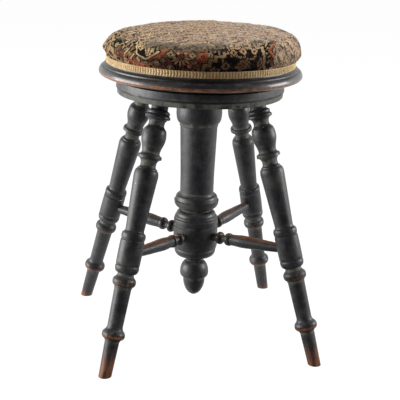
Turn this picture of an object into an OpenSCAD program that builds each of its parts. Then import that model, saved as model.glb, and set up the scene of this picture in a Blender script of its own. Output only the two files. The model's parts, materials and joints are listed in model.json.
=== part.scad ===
// Revolving piano stool with four turned legs, a turned column and an upholstered screw seat.
// Lengths are millimetres. The feet stand on z = 0, the column lies on the z axis and
// the front of the stool faces -y. The seat is drawn screwed right down.

/* [Stand] */
// Height of the base plate's underside above the floor
plate_underside = 415; // [395:1:435]
// Radius of the circle on which the feet stand
foot_circle_r = 241; // [225:1:255]
// Radius of the circle where the legs meet the plate's underside
socket_circle_r = 108; // [104:1:113]
// Angle of the first leg round the column, from +x
leg_azimuth = 45; // [30:1:60]

/* [Base plate] */
// Radius of the base plate at its ridge
plate_r = 137; // [133:1:143]
// Thickness of the base plate
plate_t = 22.5; // [21:0.5:26]

/* [Legs] */
// Largest radius of a leg, at its vase and its collar
leg_r = 20; // [17.5:0.1:21]
// Radius of the tenon at the top of a leg
leg_tenon_r = 10; // [8:0.5:12]
// Length of that tenon inside the plate
leg_tenon_len = 15; // [10:0.5:16]

/* [Stretchers] */
// Radius of a stretcher at its beads
stretcher_r = 10.8; // [9:0.1:12]
// Depth of a stretcher's end inside the column
hub_tenon_len = 16; // [12:0.5:20]
// Depth of a stretcher's end inside a leg
block_tenon_len = 14; // [10:0.5:15]

/* [Column] */
// Radius of the column's hub
hub_r = 37.3; // [35:0.1:41]
// Length of the column below the plate
column_drop = 282; // [260:1:290]
// Radius of the tenon that holds the plate on the column
column_tenon_r = 26.5; // [25.5:0.5:28]

/* [Finial] */
// Largest radius of the acorn
finial_r = 24.4; // [20:0.1:26]
// Length of the acorn below the hub
finial_drop = 70.5; // [65:0.5:85]
// Radius of the dowel turned on its top
finial_dowel_r = 8; // [6:0.5:9]
// Length of that dowel
finial_dowel_len = 24; // [18:1:28]

/* [Screw] */
// Rise of the seat for one turn
screw_pitch = 8.5; // [8:0.1:9]
// Number of turns from the lowest seat to the highest
screw_turns = 14; // [10:1:15]
// Radius of the spindle at the crests of its thread
spindle_r = 14; // [13.2:0.1:14.6]
// Depth of the thread
thread_depth = 2; // [1:0.1:2.5]
// Length of the plain neck between the thread and the seat's flange
spindle_neck_len = 6; // [4:0.5:8]
// Radius of the spindle's end that is riveted in the flange
rivet_r = 10; // [8:0.5:11]
// Radius of the riveted head
rivet_head_r = 13; // [12:0.5:14]
// Height of the riveted head
rivet_head_h = 3; // [2:0.5:4]

/* [Spindle nut] */
// Radius of the nut's flange on the plate
nut_flange_r = 42; // [40:0.5:46]
// Thickness of that flange
nut_flange_t = 4; // [3.5:0.5:5]
// Radius of the nut's barrel inside the column
nut_barrel_r = 19; // [18:0.1:19.5]
// Length of the barrel below the top of the plate
nut_barrel_len = 45; // [40:1:52]
// Radius of the circle of screws in the nut's flange
nut_screw_circle_r = 34.5; // [33.5:0.5:35.5]

/* [Stop] */
// Radius of the washer that stops the seat at its highest
stop_washer_r = 17; // [16.5:0.1:17.4]
// Thickness of that washer
stop_washer_t = 3; // [2:0.5:4]
// Radius of the screw that holds the washer
stop_screw_r = 4; // [3:0.5:5]
// Length of that screw inside the spindle
stop_screw_len = 22; // [16:1:28]
// Radius of that screw's head
stop_head_r = 7.5; // [7:0.5:9]
// Height of that screw's head
stop_head_h = 4; // [3:0.5:5]

/* [Seat flange] */
// Radius of the iron flange under the seat
seat_flange_r = 46; // [43:0.5:50]
// Thickness of that flange
seat_flange_t = 4.5; // [4:0.5:6]
// Depth that the flange is let into the board
seat_flange_let_in = 2.5; // [1.5:0.5:3.5]
// Radius of the circle of screws in that flange
seat_screw_circle_r = 33; // [30:0.5:36]

/* [Wood screws] */
// Radius of a wood screw's head
screw_head_r = 4.6; // [4:0.1:5]
// Radius of a wood screw's shank
screw_shank_r = 2.3; // [1.8:0.1:2.6]
// Length of a wood screw
screw_len = 18; // [15:0.5:20]
// Number of wood screws in a flange
screw_count = 4; // [3:1:6]

/* [Seat board] */
// Radius of the seat's moulded rim
board_r = 165; // [160:1:170]
// Height of the rim from the underside to the shelf that carries the braid
rim_h = 21; // [20:0.5:25]
// Height of the board's neck above that shelf
board_neck_h = 10; // [9:0.5:12]
// Width of the shelf and rim outside the neck
rim_w = 15.7; // [13:0.1:18]

/* [Cushion] */
// How far the cushion swells past the foot of its cover
cushion_bulge = 6.5; // [6:0.1:10]
// Height of the cushion's widest place above the shelf
cushion_waist_h = 21; // [19:0.5:24]
// Height of the crown above the widest place
crown_h = 34.5; // [26:0.5:40]
// Thickness of the woven cover
cover_t = 2.2; // [1.5:0.1:3]

/* [Braid] */
// Height of the braid round the cushion's foot
braid_h = 10.5; // [10:0.5:13]
// Thickness of the braid
braid_t = 1.8; // [1.2:0.1:2.4]
// Number of pins that hold the braid
pin_count = 24; // [16:1:32]
// Radius of a pin's head
pin_head_r = 1.5; // [1.2:0.1:2]
// Radius of a pin's shank
pin_shank_r = 0.6; // [0.4:0.1:0.8]
// Depth of a pin inside the board
pin_depth = 7; // [5:0.5:9]

/* [Fits] */
// Radial clearance of a glued tenon or a screw in its hole
glue_fit = 0.1; // [0.05:0.05:0.2]
// Radial running clearance of the spindle in its nut
thread_fit = 0.1; // [0.05:0.05:0.2]
// Gap between faces that turn on each other
running_gap = 0.4; // [0.3:0.1:0.8]
// Space left past the end of a blind hole's tenon
hole_end_gap = 0.6; // [0.3:0.1:0.9]

/* [Hidden] */

$fn = 64;
// Straight steps in each curved stretch of an outline
curve_steps = 6;
// Straight steps in half of the cushion's crown
crown_steps = 24;
// How far a cut runs past the face that it opens
overrun = 1;

// Finishes
ebony = "#2b2927";
worn_ebony = "#3a342f";
iron = "#4a4845";
bright_iron = "#7c7870";
carpet = "#8a5a3f";
hair = "#4b3a2c";
gold_braid = "#c9aa6c";
brass = "#b08d4a";

// The four legs, anticlockwise from the first
leg_count = 4;
back_right_azimuth = leg_azimuth;
back_left_azimuth = leg_azimuth + 360 / leg_count;
front_left_azimuth = leg_azimuth + 2 * 360 / leg_count;
front_right_azimuth = leg_azimuth + 3 * 360 / leg_count;
leg_azimuths = [back_right_azimuth, back_left_azimuth, front_left_azimuth, front_right_azimuth];

// Ways in which an outline's radius changes along one stretch
LINE = 0;
// the radius changes first, then the height
EARLY = 1;
// the height changes first, then the radius
LATE = 2;
// both change smoothly
OGEE = 3;

// Heights, from the floor up
hub_bottom = plate_underside - column_drop;
plate_top = plate_underside + plate_t;
nut_top = plate_top + nut_flange_t;
nut_bottom = plate_top - nut_barrel_len;
seat_flange_bottom = nut_top + running_gap;
seat_flange_top = seat_flange_bottom + seat_flange_t;
board_bottom = seat_flange_top - seat_flange_let_in;
shelf_z = board_bottom + rim_h;
board_top = shelf_z + board_neck_h;
braid_top = shelf_z + braid_h;
waist_z = shelf_z + cushion_waist_h;

// The screw and its stop
seat_travel = screw_pitch * screw_turns;
stop_washer_top = nut_bottom - seat_travel - 3 * running_gap;
stop_washer_bottom = stop_washer_top - stop_washer_t;
spindle_bottom = stop_washer_top + running_gap;
thread_top = seat_flange_bottom - spindle_neck_len;
stop_head_bottom = stop_washer_bottom - running_gap - stop_head_h;
spindle_bore_r = nut_barrel_r + glue_fit;
spindle_bore_bottom = stop_head_bottom - stop_head_h;

// The legs, each along its own axis from the foot's centre on the floor
leg_lean = atan2(foot_circle_r - socket_circle_r, plate_underside);
leg_len = norm([foot_circle_r - socket_circle_r, plate_underside]);
// Share of a leg's length at which its stretcher's axis meets its own
stretcher_leg_share = 0.444;
// Share of the column's length below the plate at which the stretchers enter, from below
stretcher_hub_share = 0.137;
block_r_share = 0.965;
stretcher_end_share = 0.70;
stretcher_start_share = 0.56;
stretcher_hub_z = hub_bottom + stretcher_hub_share * column_drop;
stretcher_leg_r = foot_circle_r - leg_len * sin(leg_lean) * stretcher_leg_share;
stretcher_leg_z = leg_len * cos(leg_lean) * stretcher_leg_share;
stretcher_rise = atan2(stretcher_leg_z - stretcher_hub_z, stretcher_leg_r);
stretcher_len = norm([stretcher_leg_r, stretcher_leg_z - stretcher_hub_z]);
block_r = leg_r * block_r_share;
stretcher_span = stretcher_len - hub_r - block_r;
stretcher_start_r = stretcher_r * stretcher_start_share;
stretcher_end_r = stretcher_r * stretcher_end_share;

// The seat, outwards from the column's axis
board_neck_r = board_r - rim_w;
cover_foot_r = board_neck_r + cover_t;
braid_r = cover_foot_r + braid_t;
cushion_r = cover_foot_r + cushion_bulge;
pin_z = shelf_z + braid_h / 2;

// Outlines of the turned pieces. A row is the share of the length and the share of the
// radius where a stretch ends, and the way in which the radius gets there.
leg_outline_shares = [
    [-0.030, 0.490, LINE], [0.000, 0.505, LINE], [0.130, 0.580, LINE],
    [0.133, 0.640, EARLY], [0.137, 0.640, LINE], [0.151, 0.920, EARLY], [0.158, 0.905, LATE],
    [0.178, 0.640, OGEE], [0.182, 0.615, LINE], [0.324, 0.680, LINE],
    [0.327, 0.720, EARLY], [0.331, 0.720, LINE], [0.346, 0.935, EARLY], [0.353, 0.920, LATE],
    [0.371, 0.660, OGEE], [0.377, 0.650, LINE],
    [0.397, 0.955, EARLY], [0.403, 0.950, LINE], [0.406, 0.905, LINE], [0.409, 0.950, LINE],
    [0.452, 0.965, LINE], [0.496, 0.950, LINE], [0.499, 0.900, LINE], [0.502, 0.910, LINE],
    [0.514, 0.960, EARLY], [0.526, 0.860, LATE], [0.529, 0.790, LINE], [0.538, 0.745, EARLY],
    [0.733, 0.970, LINE], [0.756, 0.800, LATE], [0.760, 0.780, LINE], [0.762, 0.730, LINE],
    [0.773, 0.615, EARLY], [0.777, 0.615, LINE], [0.796, 0.945, LATE], [0.803, 0.950, LINE],
    [0.811, 0.780, LATE], [0.817, 0.710, LINE], [0.871, 0.965, OGEE], [0.906, 0.770, LATE],
    [0.909, 0.730, LINE], [0.912, 0.680, LINE], [0.920, 0.625, EARLY], [0.924, 0.625, LINE],
    [0.941, 0.940, LATE], [0.945, 0.990, LINE], [0.951, 0.970, LINE], [0.956, 0.850, LINE],
    [0.960, 0.890, EARLY], [0.967, 0.860, LATE], [0.972, 0.700, LINE], [0.977, 0.660, EARLY],
    [1.030, 0.660, LINE]
];
stretcher_outline_shares = [
    [0.000, stretcher_start_share, LINE], [0.014, 0.660, EARLY], [0.030, 0.560, LATE],
    [0.066, 0.600, OGEE], [0.104, 1.000, EARLY], [0.142, 0.620, LATE], [0.172, 0.560, EARLY],
    [0.180, 0.560, LINE], [0.204, 0.720, LATE], [0.242, 1.000, EARLY], [0.276, 0.860, LATE],
    [0.280, 0.800, LINE], [0.288, 0.800, LINE], [0.292, 0.860, LINE],
    [0.460, 0.970, OGEE], [0.740, 0.860, OGEE], [1.000, stretcher_end_share, LINE]
];
column_outline_shares = [
    [0.000, 0.440, LINE], [0.006, 0.660, LINE], [0.010, 0.760, LINE], [0.052, 0.945, EARLY],
    [0.057, 0.925, LINE], [0.061, 0.970, LINE], [0.077, 1.000, OGEE], [0.195, 1.000, LINE],
    [0.200, 0.960, LINE], [0.206, 0.960, LINE], [0.210, 0.985, LINE], [0.228, 1.000, OGEE],
    [0.243, 0.985, LATE], [0.246, 0.955, LINE], [0.250, 0.962, LINE], [0.262, 0.900, LATE],
    [0.292, 0.690, LATE], [0.300, 0.640, LINE], [0.306, 0.680, LINE], [0.348, 1.000, EARLY],
    [0.357, 1.010, LATE], [0.361, 0.965, LINE], [0.366, 0.950, LINE], [0.392, 0.810, LATE],
    [0.398, 0.785, LINE], [0.408, 0.754, EARLY], [0.517, 0.758, LINE], [0.806, 0.826, LINE],
    [0.810, 0.855, EARLY], [0.820, 0.858, LINE], [0.828, 0.885, LINE], [0.885, 1.012, EARLY],
    [1.000, 0.900, LATE]
];
finial_outline_shares = [
    [0.000, 0.000, LINE], [0.440, 0.770, EARLY], [0.474, 0.780, LINE], [0.482, 0.840, LINE],
    [0.585, 1.000, EARLY], [0.885, 0.530, LATE], [0.900, 0.600, EARLY], [0.935, 0.600, LINE],
    [0.950, 0.530, LINE], [1.000, 0.530, LINE]
];
plate_outline_shares = [
    [0.000, 0.978, LINE], [0.040, 0.986, EARLY], [0.400, 0.988, LINE], [0.430, 1.000, LINE],
    [0.960, 0.997, LINE], [1.000, 0.988, LATE]
];
// Here the radius is a share of the rim's width outside the neck
rim_outline_shares = [
    [0.000, 0.290, LINE], [0.270, 1.000, EARLY], [0.680, 0.650, LATE], [0.700, 0.570, LINE],
    [0.785, 0.560, LINE], [0.815, 0.525, LATE], [0.940, 0.340, LINE], [0.965, 0.275, EARLY],
    [1.000, 0.262, LINE]
];
// Where one turn of the thread leaves the root, meets the crest, leaves it and is back
thread_shares = [0.15, 0.35, 0.65, 0.85];
// How square the cushion's crown is, across and up
crown_power_shares = [2 / 4.4, 2 / 2.3];
// Shares of the slot in a screw's head, of the head's own size
slot_width_share = 0.22;
slot_depth_share = 0.4;
screw_tip_share = 0.75;
pin_head_h_share = 0.5;

function eased_radius(t, way) =
    way == EARLY ? sin(90 * t) :
    way == LATE ? 1 - cos(90 * t) :
    way == OGEE ? (1 - cos(180 * t)) / 2 :
    t;

function eased_height(t, way) =
    way == EARLY ? 1 - cos(90 * t) :
    way == LATE ? sin(90 * t) :
    t;

// Points after start up to a row of shares, as [radius, height]
function stretch(start, row, length, radius) =
    let (steps = row[2] == LINE ? 1 : curve_steps, end = [row[1] * radius, row[0] * length])
    [for (i = [1:steps]) let (t = i / steps) [
        start[0] + (end[0] - start[0]) * eased_radius(t, row[2]),
        start[1] + (end[1] - start[1]) * eased_height(t, row[2])
    ]];

// All the points of a turned outline, from its lower end to its upper end
function outline(rows, length, radius) = [
    for (i = [0:len(rows) - 1])
        each i == 0
            ? [[rows[0][1] * radius, rows[0][0] * length]]
            : stretch([rows[i - 1][1] * radius, rows[i - 1][0] * length], rows[i], length, radius)
];

// An outline closed on the axis, where it doesn't already start there
function closed_on_axis(points) =
    let (last = points[len(points) - 1])
    concat(points[0][0] > 0 ? [[0, points[0][1]]] : [], points, [[0, last[1]]]);

module turned(rows, length, radius) {
    rotate_extrude() polygon(closed_on_axis(outline(rows, length, radius)));
}

// A plain round bar or hole between two heights
module bar(r, from, to) {
    translate([0, 0, from]) cylinder(r = r, h = to - from);
}

module round_the_axis(count) {
    for (i = [0:count - 1]) rotate(i * 360 / count) children();
}

// Moves a leg drawn upright on the origin to its place
module at_leg(azimuth) {
    rotate(azimuth)
        translate([foot_circle_r, 0, 0])
            rotate([0, -leg_lean, 0]) children();
}

// Moves a stretcher drawn upright on the hub's axis to its place
module at_stretcher(azimuth) {
    rotate(azimuth)
        translate([0, 0, stretcher_hub_z])
            rotate([0, 90 - stretcher_rise, 0]) children();
}

// The holes in the hub and in the leg for the round ends of a stretcher
module hub_hole() {
    bar(stretcher_start_r + glue_fit, hub_r - hub_tenon_len - hole_end_gap, hub_r + overrun);
}

module block_hole() {
    leg_face = stretcher_len - block_r;
    bar(stretcher_end_r + glue_fit, leg_face - block_r, leg_face + block_tenon_len + hole_end_gap);
}

// The round bar on top of a leg, fit wider and gap longer for its hole
module leg_tenon(fit = 0, gap = 0) {
    bar(leg_tenon_r + fit, leg_len - leg_tenon_len, leg_len + leg_tenon_len + gap);
}

// A slotted, countersunk wood screw with its head's face on z = 0 and its point downwards
module wood_screw() {
    head_h = screw_head_r - screw_shank_r;
    slot_w = 2 * screw_head_r * slot_width_share;
    difference() {
        rotate_extrude() polygon([
            [0, 0], [screw_head_r, 0], [screw_shank_r, -head_h],
            [screw_shank_r, -screw_len * screw_tip_share], [0, -screw_len]
        ]);
        translate([-screw_head_r, -slot_w / 2, -head_h * slot_depth_share])
            cube([2 * screw_head_r, slot_w, head_h]);
    }
}

// The hole that such a screw leaves
module wood_screw_hole() {
    head_h = screw_head_r - screw_shank_r;
    head_wall = screw_head_r + glue_fit;
    shank_wall = screw_shank_r + glue_fit;
    rotate_extrude() polygon([
        [0, overrun], [head_wall, overrun], [head_wall, 0], [shank_wall, -head_h],
        [shank_wall, -screw_len - hole_end_gap], [0, -screw_len - hole_end_gap]
    ]);
}

module nut_screw_places() {
    round_the_axis(screw_count) translate([nut_screw_circle_r, 0, nut_top]) children();
}

module flange_screw_places() {
    round_the_axis(screw_count)
        translate([seat_screw_circle_r, 0, seat_flange_bottom]) mirror([0, 0, 1]) children();
}

module base_plate() {
    color(ebony) difference() {
        translate([0, 0, plate_underside]) turned(plate_outline_shares, plate_t, plate_r);
        bar(column_tenon_r + glue_fit, plate_underside - overrun, plate_top + overrun);
        for (azimuth = leg_azimuths) at_leg(azimuth) leg_tenon(glue_fit, hole_end_gap);
        nut_screw_places() wood_screw_hole();
    }
}

module column() {
    color(ebony) difference() {
        union() {
            translate([0, 0, hub_bottom]) turned(column_outline_shares, column_drop, hub_r);
            bar(column_tenon_r, plate_underside - plate_t, plate_top);
        }
        bar(spindle_bore_r, spindle_bore_bottom, plate_top + overrun);
        bar(finial_dowel_r + glue_fit, hub_bottom - overrun, hub_bottom + finial_dowel_len + hole_end_gap);
        for (azimuth = leg_azimuths) at_stretcher(azimuth) hub_hole();
    }
}

module finial() {
    color(ebony) union() {
        translate([0, 0, hub_bottom - finial_drop])
            turned(finial_outline_shares, finial_drop, finial_r);
        bar(finial_dowel_r, hub_bottom - overrun, hub_bottom + finial_dowel_len);
    }
}

module leg(azimuth) {
    color(ebony) difference() {
        union() {
            intersection() {
                at_leg(azimuth) turned(leg_outline_shares, leg_len, leg_r);
                bar(foot_circle_r + leg_r + plate_r, 0, plate_underside);
            }
            at_leg(azimuth) leg_tenon();
        }
        at_stretcher(azimuth) block_hole();
    }
}

module stretcher(azimuth) {
    from = hub_r - hub_tenon_len;
    to = hub_r + stretcher_span + block_tenon_len;
    between = outline(stretcher_outline_shares, stretcher_span, stretcher_r);
    color(worn_ebony) at_stretcher(azimuth) rotate_extrude() polygon(concat(
        [[0, from], [stretcher_start_r, from]],
        [for (p = between) [p[0], hub_r + p[1]]],
        [[stretcher_end_r, to], [0, to]]
    ));
}

module spindle_nut() {
    color(iron) difference() {
        union() {
            bar(nut_flange_r, plate_top, nut_top);
            bar(nut_barrel_r, nut_bottom, plate_top);
        }
        bar(spindle_r + thread_fit, nut_bottom - overrun, nut_top + overrun);
        nut_screw_places() wood_screw_hole();
    }
}

module nut_screws() {
    color(bright_iron) nut_screw_places() wood_screw();
}

module stop_washer() {
    color(iron) difference() {
        bar(stop_washer_r, stop_washer_bottom, stop_washer_top);
        bar(stop_screw_r + thread_fit, stop_washer_bottom - overrun, stop_washer_top + overrun);
    }
}

// One turn after another of root, flank, crest and flank, as rings at the thread's pitch
function thread_outline() =
    let (rings = floor((thread_top - spindle_bottom) / screw_pitch), root_r = spindle_r - thread_depth)
    [for (i = [0:rings - 1]) let (z = spindle_bottom + i * screw_pitch) each [
        [root_r, z + thread_shares[0] * screw_pitch], [spindle_r, z + thread_shares[1] * screw_pitch],
        [spindle_r, z + thread_shares[2] * screw_pitch], [root_r, z + thread_shares[3] * screw_pitch]
    ]];

module screw_spindle() {
    color(iron) difference() {
        rotate_extrude() polygon(concat(
            [[0, spindle_bottom], [spindle_r - thread_depth, spindle_bottom]],
            thread_outline(),
            [
                [spindle_r - thread_depth, thread_top], [spindle_r, thread_top],
                [spindle_r, seat_flange_bottom], [rivet_r, seat_flange_bottom],
                [rivet_r, seat_flange_top], [rivet_head_r, seat_flange_top],
                [rivet_r, seat_flange_top + rivet_head_h], [0, seat_flange_top + rivet_head_h]
            ]
        ));
        bar(stop_screw_r + glue_fit, spindle_bottom - overrun, spindle_bottom + stop_screw_len + hole_end_gap);
    }
}

module stop_screw() {
    slot_w = 2 * stop_head_r * slot_width_share;
    color(bright_iron) difference() {
        union() {
            bar(stop_head_r, stop_head_bottom, stop_head_bottom + stop_head_h);
            bar(stop_screw_r, stop_head_bottom, spindle_bottom + stop_screw_len);
        }
        translate([-stop_head_r, -slot_w / 2, stop_head_bottom - overrun])
            cube([2 * stop_head_r, slot_w, stop_head_h * slot_depth_share + overrun]);
    }
}

module seat_flange() {
    color(iron) difference() {
        bar(seat_flange_r, seat_flange_bottom, seat_flange_top);
        bar(rivet_r + glue_fit, seat_flange_bottom - overrun, seat_flange_top + overrun);
        flange_screw_places() wood_screw_hole();
    }
}

module flange_screws() {
    color(bright_iron) flange_screw_places() wood_screw();
}

// Pins of the braid, pointing to the axis. The shank alone, made wider, cuts their holes.
module pin_places() {
    round_the_axis(pin_count)
        translate([0, 0, pin_z]) rotate([0, 90, 0]) children();
}

module pin_shank(fit = 0, gap = 0) {
    bar(pin_shank_r + fit, board_neck_r - pin_depth - gap, braid_r);
}

module seat_board() {
    rim = [for (p = outline(rim_outline_shares, rim_h, rim_w)) [board_neck_r + p[0], board_bottom + p[1]]];
    color(ebony) difference() {
        rotate_extrude() polygon(concat(
            [[0, board_bottom]], rim, [[board_neck_r, shelf_z], [board_neck_r, board_top], [0, board_top]]
        ));
        bar(seat_flange_r + glue_fit, board_bottom - overrun, seat_flange_top);
        bar(rivet_head_r + glue_fit, board_bottom, seat_flange_top + rivet_head_h + hole_end_gap);
        flange_screw_places() wood_screw_hole();
        pin_places() pin_shank(glue_fit, hole_end_gap);
    }
}

// Outline of the stuffed seat, from the shelf up to its crown. Skin is how far inside the
// cover's outer face the outline lies.
function cushion_outline(skin) =
    let (foot_r = cover_foot_r - skin, waist_r = cushion_r - skin, top_h = crown_h - skin)
    concat(
        [[foot_r, shelf_z], [foot_r, braid_top]],
        stretch([foot_r, braid_top], [waist_z, waist_r, OGEE], 1, 1),
        [for (i = [1:crown_steps]) let (a = 90 * i / crown_steps) [
            waist_r * pow(cos(a), crown_power_shares[0]), waist_z + top_h * pow(sin(a), crown_power_shares[1])
        ]]
    );

module hair_pad() {
    inside = [for (p = cushion_outline(cover_t)) if (p[1] > board_top) p];
    color(hair) rotate_extrude() polygon(concat([[0, board_top], [board_neck_r, board_top]], inside));
}

module seat_cover() {
    inner = cushion_outline(cover_t);
    color(carpet) difference() {
        rotate_extrude() polygon(concat(
            cushion_outline(0), [for (i = [1:len(inner)]) inner[len(inner) - i]]
        ));
        pin_places() pin_shank(glue_fit);
    }
}

module gimp_braid() {
    color(gold_braid) difference() {
        rotate_extrude() translate([cover_foot_r, shelf_z]) square([braid_t, braid_h]);
        pin_places() pin_shank(glue_fit, overrun);
    }
}

module gimp_pins() {
    color(brass) pin_places() union() {
        pin_shank();
        translate([0, 0, braid_r])
            rotate_extrude() polygon(concat(
                [[0, 0]],
                outline([[0, 1, LINE], [1, 0, LATE]], pin_head_r * pin_head_h_share, pin_head_r)
            ));
    }
}

base_plate();
column();
finial();
leg(front_left_azimuth);  // leg_front_left
leg(front_right_azimuth);  // leg_front_right
leg(back_right_azimuth);  // leg_back_right
leg(back_left_azimuth);  // leg_back_left
stretcher(front_left_azimuth);  // stretcher_front_left
stretcher(front_right_azimuth);  // stretcher_front_right
stretcher(back_right_azimuth);  // stretcher_back_right
stretcher(back_left_azimuth);  // stretcher_back_left
spindle_nut();
nut_screws();
stop_washer();
screw_spindle();
stop_screw();
seat_flange();
flange_screws();
seat_board();
hair_pad();
seat_cover();
gimp_braid();
gimp_pins();
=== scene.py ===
"""Looks of a revolving piano stool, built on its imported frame.

The turned wood keeps the frame's own meshes, smoothed and given an ebonised finish that is
rubbed brown on its beads. The spindle gets its real thread, and the seat its stuffing under a
cover woven in a traditional carpet pattern, with the gimp braid that holds the cover.
"""

import json
import logging
import math
from dataclasses import dataclass
from enum import Enum
from typing import Any, Callable, ClassVar, Mapping, Optional, Sequence, Union

import bmesh
import bpy
import numpy as np
from mathutils import Matrix, Vector
from mathutils.bvhtree import BVHTree

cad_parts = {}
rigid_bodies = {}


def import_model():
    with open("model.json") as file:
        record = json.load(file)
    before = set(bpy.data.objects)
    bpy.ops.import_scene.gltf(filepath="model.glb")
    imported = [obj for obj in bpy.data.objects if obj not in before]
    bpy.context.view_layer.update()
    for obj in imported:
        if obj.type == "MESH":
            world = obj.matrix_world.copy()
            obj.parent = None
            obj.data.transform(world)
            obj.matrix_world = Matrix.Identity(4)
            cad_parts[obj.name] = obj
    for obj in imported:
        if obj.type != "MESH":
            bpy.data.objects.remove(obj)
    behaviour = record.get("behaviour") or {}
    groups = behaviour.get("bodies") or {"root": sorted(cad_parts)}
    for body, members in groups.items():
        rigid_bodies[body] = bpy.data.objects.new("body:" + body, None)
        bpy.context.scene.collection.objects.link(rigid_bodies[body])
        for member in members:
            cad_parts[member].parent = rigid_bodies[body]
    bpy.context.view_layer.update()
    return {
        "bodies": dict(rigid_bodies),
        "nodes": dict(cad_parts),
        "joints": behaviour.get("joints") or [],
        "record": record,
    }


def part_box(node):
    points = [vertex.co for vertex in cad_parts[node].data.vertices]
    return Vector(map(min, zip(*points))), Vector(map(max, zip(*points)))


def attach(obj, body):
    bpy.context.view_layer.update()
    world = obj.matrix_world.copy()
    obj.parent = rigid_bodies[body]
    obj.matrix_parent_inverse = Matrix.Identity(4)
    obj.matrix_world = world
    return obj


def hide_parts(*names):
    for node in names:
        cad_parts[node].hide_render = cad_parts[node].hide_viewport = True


LOG = logging.getLogger("stool")
MM = 0.001
UP = (0.0, 0.0, 1.0)
ACROSS = (1.0, 0.0, 0.0)
Box = tuple[Vector, Vector]
Colour = tuple[float, float, float, float]
Triple = tuple[float, float, float]
Socket = bpy.types.NodeSocket
Source = Union["Number", Socket, float, Sequence[float], str, bool]
Sockets = Mapping[Union[str, int], Source]


def srgb(red: float, green: float, blue: float) -> Colour:
    """Turns a colour as a screen shows it into the linear one that shaders use.

    Args:
        red: Red, from 0 to 255.
        green: Green, from 0 to 255.
        blue: Blue, from 0 to 255.

    Returns:
        The linear colour with a full alpha.
    """
    linear = [((c / 255 + 0.055) / 1.055) ** 2.4 if c > 10 else c / 255 / 12.92 for c in (red, green, blue)]
    return (linear[0], linear[1], linear[2], 1.0)


def _maths(operation: str, swapped: bool = False) -> Callable[["Number", "Number | float"], "Number"]:
    """Makes a method of Number that adds a Math node for two numbers.

    Args:
        operation: The Math node's operation.
        swapped: Whether the method's own number comes second.

    Returns:
        The method.
    """

    def method(self: "Number", other: "Number | float") -> "Number":
        """Adds the Math node."""
        return self.tree.maths(operation, *((other, self) if swapped else (self, other)))

    return method


class Number:
    """A number in a node tree. Python's operators on it add Math nodes."""

    __add__ = _maths("ADD")
    __radd__ = _maths("ADD", swapped=True)
    __sub__ = _maths("SUBTRACT")
    __rsub__ = _maths("SUBTRACT", swapped=True)
    __mul__ = _maths("MULTIPLY")
    __rmul__ = _maths("MULTIPLY", swapped=True)
    __truediv__ = _maths("DIVIDE")
    __pow__ = _maths("POWER")
    least = _maths("MINIMUM")
    most = _maths("MAXIMUM")

    def __init__(self, tree: "Tree", socket: Socket) -> None:
        """Wraps the output socket that carries the number."""
        self.tree = tree
        self.socket = socket

    def __abs__(self) -> "Number":
        """Drops the sign."""
        return self.tree.maths("ABSOLUTE", self)

    def fraction(self) -> "Number":
        """Keeps what is after the decimal point."""
        return self.tree.maths("FRACT", self)

    def eased(self, low: float, high: float) -> "Number":
        """Rises smoothly from 0 at low to 1 at high, or falls where low is the larger."""
        given = {"Value": self, "From Min": low, "From Max": high}
        return self.tree.number(self.tree.node("ShaderNodeMapRange", given, interpolation_type="SMOOTHSTEP"))

    def mapped(self, from_low: float, from_high: float, low: float, high: float) -> "Number":
        """Maps one range on another in a straight line, and stays inside it."""
        given = {"Value": self, "From Min": from_low, "From Max": from_high, "To Min": low, "To Max": high}
        return self.tree.number(self.tree.node("ShaderNodeMapRange", given))


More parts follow.
